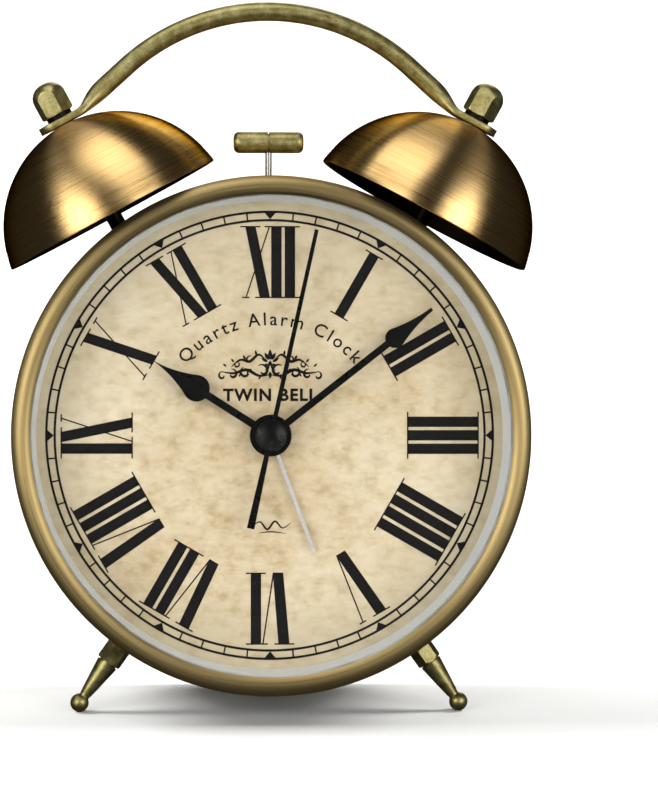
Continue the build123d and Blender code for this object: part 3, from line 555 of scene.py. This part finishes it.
steel = plain_metal("steel_turned_zinc_plated", "#8E8E8A", "#B9B9B4", 0.30, 0.6)
black_steel = plain_metal("steel_blackened", "#161412", "#2E2A26", 0.42, 0.4)
gear_brass = plain_metal("gear_brass_pressed", "#A4823E", "#C9A75C", 0.30, 0.5)
finish_node(steel, "bell_studs", "bell_stud_nuts", "leg_nuts", "quartz_crystal", "ringer_bracket",
            "bracket_screws", "ringer_motor", "hammer_pivot_pin", "hammer_lever", "hammer_rod",
            "battery_contacts", "back_cover_screws")
finish_node(black_steel, "bell_spacers", "lock_washers", "stator", "rotor")
finish_node(gear_brass, "dial_nut", "motor_pinion")

# ---- Dial --------------------------------------------------------------------------------------
# Card printed to look like old parchment: warm cream with tan blotches and faint fibres. Painted shade makes it
# darker and a little green towards the edge under the bezel and towards the top, so the bottom is lighter. The
# print is thin black ink.
def parchment_card():
    """Cream card: two sizes of blotch mix the tans, and painted shade, rising with distance from the hub and
    with height on the dial, darkens it near the bezel and at the top, all on Object coordinates turned to the
    clock's lean and centred on the hub."""
    material, output = start_material("card_printed_parchment")
    spots = add_node(material, "TexCoord")
    level = add_node(material, "Mapping", {"Vector": (spots, "Object"), "Rotation": (lean, 0.0, 0.0)})
    blotch_map = add_node(material, "Mapping", {"Vector": (level, "Vector"), "Scale": (220.0, 220.0, 300.0)})
    blotch = add_noise(material, (blotch_map, "Vector"), 1.0, 6.0, 0.7)
    cloud = add_noise(material, (level, "Vector"), 22.0, 3.0)
    fibre_map = add_node(material, "Mapping", {"Vector": (level, "Vector"), "Scale": (260.0, 260.0, 900.0)})
    fibre = add_noise(material, (fibre_map, "Vector"), 1.0, 3.0)
    tan = add_node(material, "ValToRGB", {"Fac": (blotch, "Fac")},
        [(0.36, "#AC946C"), (0.44, "#C8B490"), (0.54, "#DCCDAF"),
        (0.68, "#E8DCC6")])
    warm = add_node(material, "ValToRGB", {"Fac": (cloud, "Fac")},
        [(0.35, "#C2AC86"), (0.52, "#D8C9AC"), (0.68, "#E6DAC4")])
    card = add_node(material, "Mix", {0: 0.5, 6: (tan, "Color"), 7: (warm, "Color")}, data_type="RGBA")
    fleck = add_range(material, (fibre, "Fac"), 0.93, 1.03)
    flecked = add_node(material, "VectorMath", {0: (card, 2), 1: (fleck, "Result")}, operation="MULTIPLY")
    hub = np.array([0.0, heart @ np.array([0, math.cos(lean), -math.sin(lean)]),
        heart @ np.array([0, math.sin(lean), math.cos(lean)])])
    centred = add_node(material, "VectorMath", {0: (level, "Vector"), 1: tuple(hub)}, operation="SUBTRACT")
    parts = add_node(material, "SeparateXYZ", {0: (centred, 0)})
    x2 = add_node(material, "Math", {0: (parts, "X"), 1: 2.0}, operation="POWER")
    z2 = add_node(material, "Math", {0: (parts, "Z"), 1: 2.0}, operation="POWER")
    r2 = add_node(material, "Math", {0: (x2, 0), 1: (z2, 0)}, operation="ADD")
    radius = add_node(material, "Math", {0: (r2, 0)}, operation="SQRT")
    # Painted shade: towards the rim, where the bezel shades the card, and towards the top, the card is mixed
    # with a darker, slightly green tan (#A8997A), leaving the bottom lighter.
    edge = add_range(material, (radius, 0), 0.0, 0.55, 0.030, 0.049,
        interpolation_type="SMOOTHSTEP")
    top = add_range(material, (parts, "Z"), 0.0, 0.40, -0.01, 0.047,
        interpolation_type="SMOOTHSTEP")
    painted_shade = add_node(material, "Math", {0: (edge, "Result"), 1: (top, "Result")}, operation="MAXIMUM")
    card_under_painted_shade = add_node(material, "Mix", {0: (painted_shade, 0), 6: (flecked, 0), 7: linear("#A8997A")}, data_type="RGBA")
    bump = add_node(material, "Bump", {"Strength": 0.12, "Distance": 0.00005, "Height": (fibre, "Fac")})
    shader = add_node(material, "BsdfPrincipled",
        {"Base Color": (card_under_painted_shade, 2), "Roughness": 0.62, "Specular IOR Level": 0.35, "Normal": (bump, "Normal")})
    return finish_material(material, output, shader)


finish_node(parchment_card(), "dial_plate")


# Ink on the card: two circles, a tick each minute, a triangle each five, the roman numerals with
# their thick and hair strokes, and the words. Each is a flat shape 0.03 mm proud of the card.
card_front, ink_thick = 7.0, 0.03
ink, ink_out = start_material("printing_ink_black")
ink_spots = add_node(ink, "TexCoord")
ink_grain = add_noise(ink, (ink_spots, "Object"), 900.0, 3.0)
ink_tint = add_node(ink, "ValToRGB", {"Fac": (ink_grain, "Fac")},
    [(0.3, "#060506"), (0.75, "#0F0C0B")])
ink_shader = add_node(ink, "BsdfPrincipled", {"Base Color": (ink_tint, "Color"), "Roughness": 0.65,
    "Specular IOR Level": 0.15})
finish_material(ink, ink_out, ink_shader)


def stand_print(name, mesh, work):
    """Turn flat shapes on the card to face out of the dial, give them the ink's thickness, and put
    them in the scene."""
    for face in work.faces:
        face.normal_update()
        if face.normal.dot(Vector(out)) < 0:
            face.normal_flip()
    raised = bmesh.ops.extrude_face_region(work, geom=list(work.faces))
    moved = [item for item in raised["geom"] if isinstance(item, bmesh.types.BMVert)]
    bmesh.ops.translate(work, verts=moved, vec=Vector(out) * ink_thick * MM)
    bmesh.ops.recalc_face_normals(work, faces=work.faces)
    work.to_mesh(mesh)
    work.free()
    mesh.shade_flat()
    mesh.materials.clear()
    mesh.materials.append(ink)
    piece = bpy.data.objects.new(name, mesh)
    bpy.context.scene.collection.objects.link(piece)
    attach(piece, "clock")


class Print:
    """Flat printed shapes gathered into one mesh: each outline, a list of (x, z) in mm, becomes a thin
    plate on the card, and bands are given as two matching edges."""

    def __init__(self):
        self.points, self.faces = [], []

    def band(self, first, second, closed=False):
        """A strip between two edges with the same number of points."""
        count = len(first)
        start = len(self.points)
        self.points += [tuple(p) for p in first] + [tuple(p) for p in second]
        for k in range(count if closed else count - 1):
            n = (k + 1) % count
            self.faces.append((start + k, start + n, start + count + n, start + count + k))

    def polygon(self, outline):
        """A filled outline without holes, given counter-clockwise or clockwise."""
        start = len(self.points)
        self.points += [tuple(p) for p in outline]
        self.faces.append(tuple(range(start, start + len(outline))))

    def finish(self, name):
        """Stand the shapes on the card and give them their thickness."""
        flat = np.array(self.points)
        spots = place(flat[:, 0], flat[:, 1], card_front)
        mesh = bpy.data.meshes.new(name)
        mesh.from_pydata(spots, [], self.faces)
        work = bmesh.new()
        work.from_mesh(mesh)
        stand_print(name, mesh, work)
        mesh.uv_layers.new(name="UVMap")


track_outer, track_inner, track_line, numeral_outer, numeral_inner = 47.08, 45.32, 0.5, 44.1, 28.9


def spoke(angle):
    """Two unit steps on the dial at a clockwise angle from 12: away from the hub, and to its right."""
    ray = np.array([math.sin(angle), math.cos(angle)])
    return ray, np.array([ray[1], -ray[0]])


def circle(radius, steps=360):
    """Points of a circle round the hub."""
    t = np.linspace(0, 2 * math.pi, steps, endpoint=False)
    return np.stack([radius * np.sin(t), radius * np.cos(t)], 1)


track = Print()
for ring in (track_outer, track_inner):
    track.band(circle(ring - track_line / 2), circle(ring + track_line / 2), True)
for minute in range(60):
    ray, side_way = spoke(math.radians(6 * minute))
    half = 0.17
    low, high = track_inner + track_line / 2, track_outer - track_line / 2
    if minute % 5:
        track.band([ray * low - side_way * half, ray * high - side_way * half],
                   [ray * low + side_way * half, ray * high + side_way * half])
    else:
        track.polygon([ray * low - side_way * 0.05, ray * high - side_way * 1.15,
                       ray * high + side_way * 1.15, ray * low + side_way * 0.05])
track.finish("minute_track_print")

# Numerals: thick bars, hair strokes and long fine serifs, drawn upright and set radially.
bar, gap, hair, reach_past = 2.2, 0.65, 0.3, 1.0
wide_x, wide_v, close_gap = 5.3, 5.8, 0.2
tall_low, tall_high = numeral_inner, numeral_outer


def numeral_parts(text):
    """Strokes of a roman numeral in its own (s, r) plane: s across, to the right when read from the
    hub outwards, and r from the hub. Returns quadrilaterals centred on s = 0."""
    strokes, edge_spans, s = [], [], 0.0
    for place_at, letter in enumerate(text):
        after = gap if text[place_at : place_at + 2] == "II" else close_gap
        if letter == "I":
            strokes.append([(s, tall_low), (s + bar, tall_low), (s + bar, tall_high), (s, tall_high)])
            edge_spans += [(s, s + bar, "low"), (s, s + bar, "high")]
            s += bar + after
        elif letter == "X":
            right = s + wide_x
            strokes.append([(right - bar, tall_low), (right, tall_low), (s + bar, tall_high), (s, tall_high)])
            strokes.append([(s, tall_low), (s + hair, tall_low), (right, tall_high), (right - hair, tall_high)])
            edge_spans += [(s + 0.1, s + 0.2, "low"), (right - bar, right, "low")]
            edge_spans += [(s, s + bar, "high"), (right - 0.2, right - 0.1, "high")]
            s += wide_x + after
        elif letter == "V":
            right, apex = s + wide_v, s + 1.35
            strokes.append([(apex, tall_low), (apex + bar, tall_low), (s + bar + 0.15, tall_high),
                (s, tall_high)])
            strokes.append([(apex + bar - hair, tall_low), (apex + bar, tall_low), (right, tall_high),
                (right - hair, tall_high)])
            edge_spans += [(s, s + bar, "high"), (right - 0.2, right - 0.1, "high")]
            s += wide_v + after
    total = s - close_gap
    for level, r, thick in (("low", tall_low, hair), ("high", tall_high, -hair)):
        spans = sorted(span[:2] for span in edge_spans if span[2] == level)
        merged = []
        for first, last in spans:
            if merged and first - merged[-1][1] < 1.0:
                merged[-1][1] = last
            else:
                merged.append([first, last])
        for first, last in merged:
            past = reach_past if last - first > 1.0 else 0.75
            ends = (first - past, last + past)
            strokes.append([(ends[0], r), (ends[1], r), (ends[1], r + thick), (ends[0], r + thick)])
    return [[(p - total / 2, r) for p, r in stroke] for stroke in strokes]


numerals = Print()
for hour, text in enumerate(("XII", "I", "II", "III", "IIII", "V", "VI", "VII", "VIII", "IX", "X", "XI")):
    ray, side_way = spoke(math.radians(30 * hour))
    for stroke in numeral_parts(text):
        numerals.polygon([ray * r + side_way * s for s, r in stroke])
numerals.finish("hour_numerals_print")


def lay_text(name, text, size, put, spacing=1.0, bold=0.0):
    """Set generic words as a flat mesh: each point (x, z) of the flat text, in mm from its middle,
    is moved by put(x, z), and the front face is given its thickness with the card's ink."""
    curve = bpy.data.curves.new(name, "FONT")
    curve.body, curve.size, curve.align_x, curve.align_y = text, size, "CENTER", "CENTER"
    curve.space_character = spacing
    curve.offset = bold
    curve.resolution_u = 4
    holder = bpy.data.objects.new(name, curve)
    bpy.context.scene.collection.objects.link(holder)
    mesh = bpy.data.meshes.new_from_object(holder.evaluated_get(bpy.context.evaluated_depsgraph_get()))
    bpy.data.objects.remove(holder)
    work = bmesh.new()
    work.from_mesh(mesh)
    bmesh.ops.remove_doubles(work, verts=work.verts, dist=1e-5)
    bmesh.ops.subdivide_edges(work, edges=[e for e in work.edges if e.calc_length() > 0.6], cuts=1)
    for vert in work.verts:
        x, z = put(vert.co.x, vert.co.y)
        vert.co = Vector(place(x, z, card_front))
    stand_print(name, mesh, work)


arc_radius, block_height, block_up = 24.4, 3.5, 8.4
lay_text("curved_words_print", "Quartz Alarm Clock", 3.9,
         lambda x, z: tuple((arc_radius + z) * spoke(x / arc_radius)[0]), spacing=1.30, bold=0.035)
lay_text("block_words_print", "TWIN BELL", block_height,
         lambda x, z: (x, block_up + z), spacing=1.16, bold=0.13)

# Scrollwork above the words: mirrored pen curls, each a spiral with a swelling stroke.
scroll_up = 15.0
scroll = Print()


def pen_stroke(path, widths):
    """A swelling pen line: points move half the width to either side, square to the path."""
    slope = np.gradient(path, axis=0)
    slope /= np.maximum(np.linalg.norm(slope, axis=1, keepdims=True), 1e-9)
    square = np.stack([-slope[:, 1], slope[:, 0]], 1)
    scroll.band(path + square * widths[:, None] / 2, path - square * widths[:, None] / 2)


def curl(x, z, size, start, sweep, hand, thick):
    """A spiral that winds in from (x, z): radius falls as (1 - s)^0.8 over sweep radians."""
    s = np.linspace(0, 1, 40)
    radius = size * (1 - 0.86 * s) ** 0.8
    angle = start + hand * sweep * s
    middle_x = x - size * math.cos(start)
    middle_z = z - size * math.sin(start)
    path = np.stack([middle_x + radius * np.cos(angle), middle_z + radius * np.sin(angle)], 1)
    pen_stroke(path, thick * (0.25 + np.sin(math.pi * s) ** 0.8))


def flow(points, thick):
    """A smooth line through given points by the Catmull-Rom formula, swelling in the middle."""
    p = np.array([points[0]] + points + [points[-1]], float)
    rows = []
    for k in range(len(points) - 1):
        t = np.linspace(0, 1, 14, endpoint=k == len(points) - 2)[:, None]
        a, b, c, d = p[k : k + 4]
        rows.append(0.5 * (2 * b + (c - a) * t + (2 * a - 5 * b + 4 * c - d) * t**2
            + (3 * b - a - 3 * c + d) * t**3))
    path = np.concatenate(rows)
    s = np.linspace(0, 1, len(path))
    pen_stroke(path, thick * (0.25 + np.sin(math.pi * s)))


def petal(x, z, length, wide, angle):
    """A filled petal from (x, z): half width = wide/2 sin(pi s^0.8) along its length."""
    s = np.linspace(0, 1, 14)
    ray, side_way = spoke(angle)
    middle = np.array([x, z]) + ray * (length * s)[:, None]
    half = (wide / 2 * np.sin(math.pi * s**0.8))[:, None] * side_way
    scroll.band(middle - half, middle + half)


for hand in (-1, 1):
    flow([(0.0, scroll_up - 2.2), (hand * 2.4, scroll_up - 2.4), (hand * 5.0, scroll_up - 1.2),
        (hand * 7.6, scroll_up - 1.9), (hand * 10.2, scroll_up - 1.6)], 0.55)
    flow([(hand * 0.7, scroll_up + 0.6), (hand * 2.4, scroll_up + 2.0), (hand * 4.3, scroll_up + 0.6),
        (hand * 6.3, scroll_up + 0.9), (hand * 8.2, scroll_up - 0.6)], 0.5)
    for x, z, size, start, way, thick in (
        (2.5, -0.3, 1.45, 0.9, 1, 0.5), (5.6, -0.6, 1.25, 1.2, -1, 0.46), (8.2, -1.0, 1.15, 1.4, 1, 0.42),
        (10.0, -1.5, 0.95, 1.6, -1, 0.38), (3.9, 1.7, 0.9, 2.0, -1, 0.36), (1.2, -1.2, 0.8, -1.2, -1, 0.34),
        (6.9, 0.6, 0.75, 1.9, 1, 0.32), (4.3, -2.3, 0.75, -1.4, 1, 0.32),
    ):
        curl(hand * x, scroll_up + z, size, start if hand > 0 else math.pi - start, 4.9, way * hand, thick)
    for x, z, length, wide, angle in (
        (0.3, 0.9, 1.8, 0.75, 0.5), (0.5, 0.5, 1.6, 0.65, 1.05), (2.9, 1.9, 1.1, 0.5, 0.2),
        (5.2, 1.0, 1.1, 0.5, 0.5), (7.6, 0.4, 1.0, 0.45, 0.7), (9.2, -0.5, 1.0, 0.42, 0.9),
        (2.0, -2.5, 0.9, 0.42, 2.6), (6.2, -1.9, 0.9, 0.42, 2.7),
    ):
        petal(hand * x, scroll_up + z, length, wide, hand * angle)
petal(0.0, scroll_up + 0.9, 2.3, 0.95, 0.0)
petal(0.0, scroll_up - 0.4, 1.2, 0.8, 0.0)
petal(0.0, scroll_up - 1.6, 1.5, 0.7, math.pi)
scroll.finish("scroll_ornament_print")

# Below the hub is a small flourish of two pen lines.
scroll = Print()
flow([(-4.2, -19.6), (-2.2, -18.2), (-0.6, -19.8), (1.0, -18.1), (2.6, -19.5), (4.4, -18.4)], 0.34)
flow([(-2.6, -20.6), (0.2, -20.3), (3.4, -20.7)], 0.22)
scroll.finish("flourish_print")

# ---- Hands -------------------------------------------------------------------------------------
# The hour and minute hands are spade hands pressed from black sheet, with a round boss on a brass
# bush. The second hand is one thin strip with a counterweight, and the alarm hand is a plain one.
def even_coat(name, colour, scale, detail, low, high, rest):
    """One colour all over, with a roughness that drifts between low and high."""
    material, output = start_material(name)
    spots = add_node(material, "TexCoord")
    drift = add_noise(material, (spots, "Object"), scale, detail)
    rough = add_range(material, (drift, "Fac"), low, high)
    inputs = {"Base Color": linear(colour), "Roughness": (rough, "Result"), **rest}
    return finish_material(material, output, add_node(material, "BsdfPrincipled", inputs))


black_enamel = even_coat("hand_enamel_black", "#050505", 700.0, 2.0, 0.26, 0.34, {"Specular IOR Level": 0.2})
silver = plain_metal("aluminium_plated_satin", "#D4D4D4", "#F0F0F0", 0.38, 0.4)


def hand_outline(sections):
    """The right edge of a hand from root to tip, as (half width, distance) rows; the outline is that
    edge up and its mirror image back."""
    rows = np.array(sections, float)
    return np.concatenate([np.stack([rows[:, 0], rows[:, 1]], 1), np.stack([-rows[::-1, 0], rows[::-1, 1]], 1)])


def add_hand(name, outline, boss, hole, clock_angle, low, high, body, node, material, soft=0.08):
    """A flat hand at its clock angle, from low to high in front of the heart: the outline and a round
    boss, united by a boolean, with a hole for the arbour, and the edges rounded by a narrow bevel."""
    mesh = bpy.data.meshes.new(name)
    work = bmesh.new()
    ray, side_way = spoke(math.radians(clock_angle))

    def solid(points, holes=None):
        """Fill the outline, or the band between it and the hole, and give it the sheet's thickness."""
        rim = [side_way * s + ray * r for s, r in points]
        verts = [work.verts.new(place(p[0], p[1], low)) for p in rim]
        if holes is None:
            face = work.faces.new(verts)
            made = [face]
        else:
            inner = [work.verts.new(place(*(side_way * s + ray * r), low)) for s, r in holes]
            made = []
            count = len(verts)
            for k in range(count):
                n = (k + 1) % count
                made.append(work.faces.new((verts[k], verts[n], inner[n], inner[k])))
        grown = bmesh.ops.extrude_face_region(work, geom=made)
        moved = [item for item in grown["geom"] if isinstance(item, bmesh.types.BMVert)]
        bmesh.ops.translate(work, verts=moved, vec=Vector(out) * (high - low) * MM)

    t = np.linspace(0, 2 * math.pi, 64, endpoint=False)
    solid(np.stack([boss * np.cos(t), boss * np.sin(t)], 1),
        np.stack([hole * np.cos(t), hole * np.sin(t)], 1) if hole else None)
    bmesh.ops.recalc_face_normals(work, faces=work.faces)
    boss_mesh = bpy.data.meshes.new(name + "_boss")
    work.to_mesh(boss_mesh)
    work.clear()
    solid(outline)
    bmesh.ops.recalc_face_normals(work, faces=work.faces)
    work.to_mesh(mesh)
    work.free()
    piece = bpy.data.objects.new(name, mesh)
    other = bpy.data.objects.new(name + "_boss", boss_mesh)
    for item in (piece, other):
        bpy.context.scene.collection.objects.link(item)
    join = piece.modifiers.new("join", "BOOLEAN")
    join.operation, join.object, join.solver = "UNION", other, "EXACT"
    baked = bpy.data.meshes.new_from_object(piece.evaluated_get(bpy.context.evaluated_depsgraph_get()))
    piece.modifiers.clear()
    piece.data = baked
    baked.name = name
    bpy.data.objects.remove(other)
    bpy.data.meshes.remove(mesh)
    baked.shade_flat()
    edge = piece.modifiers.new("pressed_edge", "BEVEL")
    edge.width, edge.segments, edge.limit_method, edge.angle_limit = soft * MM, 2, "ANGLE", math.radians(50)
    baked.materials.clear()
    baked.materials.append(material)
    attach(piece, body)
    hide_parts(node)
    return piece


def arc_rows(radius, centre_at, from_angle, to_angle, steps=20):
    """Edge rows on a circle centred on the hand: half width r sin(a), distance centre - r cos(a)."""
    a = np.radians(np.linspace(from_angle, to_angle, steps))
    return np.stack([radius * np.sin(a), centre_at - radius * np.cos(a)], 1)


def spade_rows(bar_wide, boss, bulb_at, bulb, tip_wide, length):
    """A spade hand: a parallel bar from inside the boss, a round bulb, and hollow flanks whose half
    width falls from the bulb's shoulder to the tip as (1 - s)^1.83 along the leaf."""
    half = bar_wide / 2
    meet = math.degrees(math.asin(half / bulb))
    bulb_rows = arc_rows(bulb, bulb_at, meet, 118, 30)
    s = np.linspace(0, 1, 26)[1:]
    shoulder, start = bulb_rows[-1]
    leaf_half = tip_wide / 2 + (shoulder - tip_wide / 2) * (1 - s) ** 1.83
    return np.concatenate([[(half, boss * 0.55)], bulb_rows,
        np.stack([leaf_half, start + (length - start) * s], 1)])


hour_at, minute_at, second_at, alarm_at = 302.5, 51.9, 12.5, 159.4
hour_rows = spade_rows(bar_wide=1.6, boss=4.4, bulb_at=18.5, bulb=2.8, tip_wide=0.16, length=29.3)
minute_rows = spade_rows(bar_wide=1.5, boss=3.9, bulb_at=33.2, bulb=2.1, tip_wide=0.75, length=43.1)
second_strip = [(-0.8, -20.0), (0.8, -20.0), (0.5, -2.0), (0.5, 0.0), (0.42, 44.3), (-0.42, 44.3), (-0.5, 0.0),
    (-0.5, -2.0)]
alarm_strip = [(-0.375, 0.5), (0.375, 0.5), (0.375, 26.0), (0.2, 26.2), (-0.2, 26.2), (-0.375, 26.0)]
add_hand("hour_spade_hand", hand_outline(hour_rows), 4.4, 2.45, hour_at, 9.3, 9.7, "hour_group", "hour_hand",
         black_enamel)
add_hand("minute_spade_hand", hand_outline(minute_rows), 3.9, 1.55, minute_at, 10.5, 10.9, "minute_group",
         "minute_hand", black_enamel)
add_hand("second_strip_hand", second_strip, 2.4, 0.55, second_at, 11.4, 11.7, "seconds_group", "second_hand",
         black_enamel, 0.05)
add_hand("alarm_strip_hand", alarm_strip, 3.2, 3.05, alarm_at, 8.2, 8.5, "alarm_group", "alarm_hand", silver,
         0.05)

# The round cap over the second hand's arbour is a black pressed button with a low crown.
cap_side, cap_low, cap_shoulder, cap_crown = 3.3, 11.72, 12.3, 13.1
cap_ball = (cap_side**2 + (cap_crown - cap_shoulder) ** 2) / 2 / (cap_crown - cap_shoulder)
swing = np.linspace(0.93, 0, 18) * math.asin(cap_side / cap_ball)
cap_profile = np.concatenate([
    [[0.0, cap_low], [cap_side - 0.12, cap_low], [cap_side, cap_low + 0.1], [cap_side, cap_shoulder - 0.12]],
    np.stack([cap_ball * np.sin(swing), cap_crown - cap_ball * (1 - np.cos(swing))], 1),
])
cap = add_grid("hub_button", turned(cap_profile, heart, across, out, 72), True, False, black_enamel, crease=45)
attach(cap, "seconds_group")
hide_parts("hub_cap")

# ---- Liner and lens ----------------------------------------------------------------------------
# A polished white-metal liner ring fills the step between card and glass. The glass is flat float.
liner = even_coat("liner_polished_aluminium", "#DCE6F0", 160.0, 3.0, 0.16, 0.26, {"Metallic": 0.2})
finish_node(liner, "reflector_ring")

glass, glass_out = start_material("float_glass_clear")
glass_body = add_node(glass, "BsdfPrincipled",
    {"Base Color": linear("#FCFCFB"), "Roughness": 0.01, "Transmission Weight": 1.0, "IOR": 1.5})
glass_light = add_node(glass, "LightPath")
glass_clear = add_node(glass, "BsdfTransparent", {"Color": linear("#F8F8F6")})
glass_mix = add_node(glass, "MixShader", {0: (glass_light, "Is Shadow Ray"), 1: (glass_body, "BSDF"),
    2: (glass_clear, "BSDF")})
finish_material(glass, glass_out, glass_mix)
finish_node(glass, "lens_glass")

# ---- Back --------------------------------------------------------------------------------------
# The back cover, battery door, knobs and slider are moulded in black ABS with a fine spark-eroded
# texture. Inside are white and natural acetal wheels, a green board, grey cells and copper wire.
def moulded_plastic(name, colour, lighter, roughness, grain_mm, depth, coat=0.0):
    """Moulded plastic: fine grain in the height, and slow drifts in colour and gloss."""
    material, output = start_material(name)
    spots = add_node(material, "TexCoord")
    grain = add_noise(material, (spots, "Object"), 1 / (grain_mm * MM), 2.0)
    drift = add_noise(material, (spots, "Object"), 60.0, 3.0)
    return dress(material, output, (drift, "Fac"), [(0.3, colour), (0.7, lighter)],
                 (drift, "Fac"), roughness - 0.04, roughness + 0.06, (grain, "Fac"), depth, 0.00005,
                 {"Coat Weight": coat})


black_abs = moulded_plastic("abs_black_textured", "#1A1A1D", "#1F1F22", 0.48, 0.25, 0.5)
knob_abs = moulded_plastic("abs_black_glossy", "#141416", "#1B1B1E", 0.25, 0.6, 0.1)
white_pom = moulded_plastic("acetal_white", "#E4E1D8", "#EFECE4", 0.40, 0.5, 0.1)
natural_pom = moulded_plastic("acetal_natural", "#D8D3C4", "#E6E1D4", 0.38, 0.5, 0.1)
board_green = moulded_plastic("circuit_board_green", "#1F5A36", "#2C6E45", 0.40, 0.6, 0.1)
cell_sleeve = moulded_plastic("cell_sleeve_grey_blue", "#3C4C60", "#4A5B70", 0.28, 2.0, 0.05, 0.4)
copper_wire = plain_metal("copper_wire_enamelled", "#8A4A22", "#B86A34", 0.32, 0.3)
finish_node(black_abs, "back_cover", "battery_door")
finish_node(knob_abs, "time_knob", "alarm_knob", "alarm_switch_slider")
finish_node(white_pom, "alarm_switch_body", "movement_front_shell", "movement_rear_shell", "train_plate")
finish_node(natural_pom, "intermediate_wheel", "seconds_wheel", "third_wheel", "centre_wheel",
            "motion_wheel", "hour_wheel", "alarm_wheel", "time_set_shaft", "alarm_set_shaft", "cam_gear")
finish_node(board_green, "circuit_board")
finish_node(cell_sleeve, "battery_cells")
finish_node(copper_wire, "drive_coil")
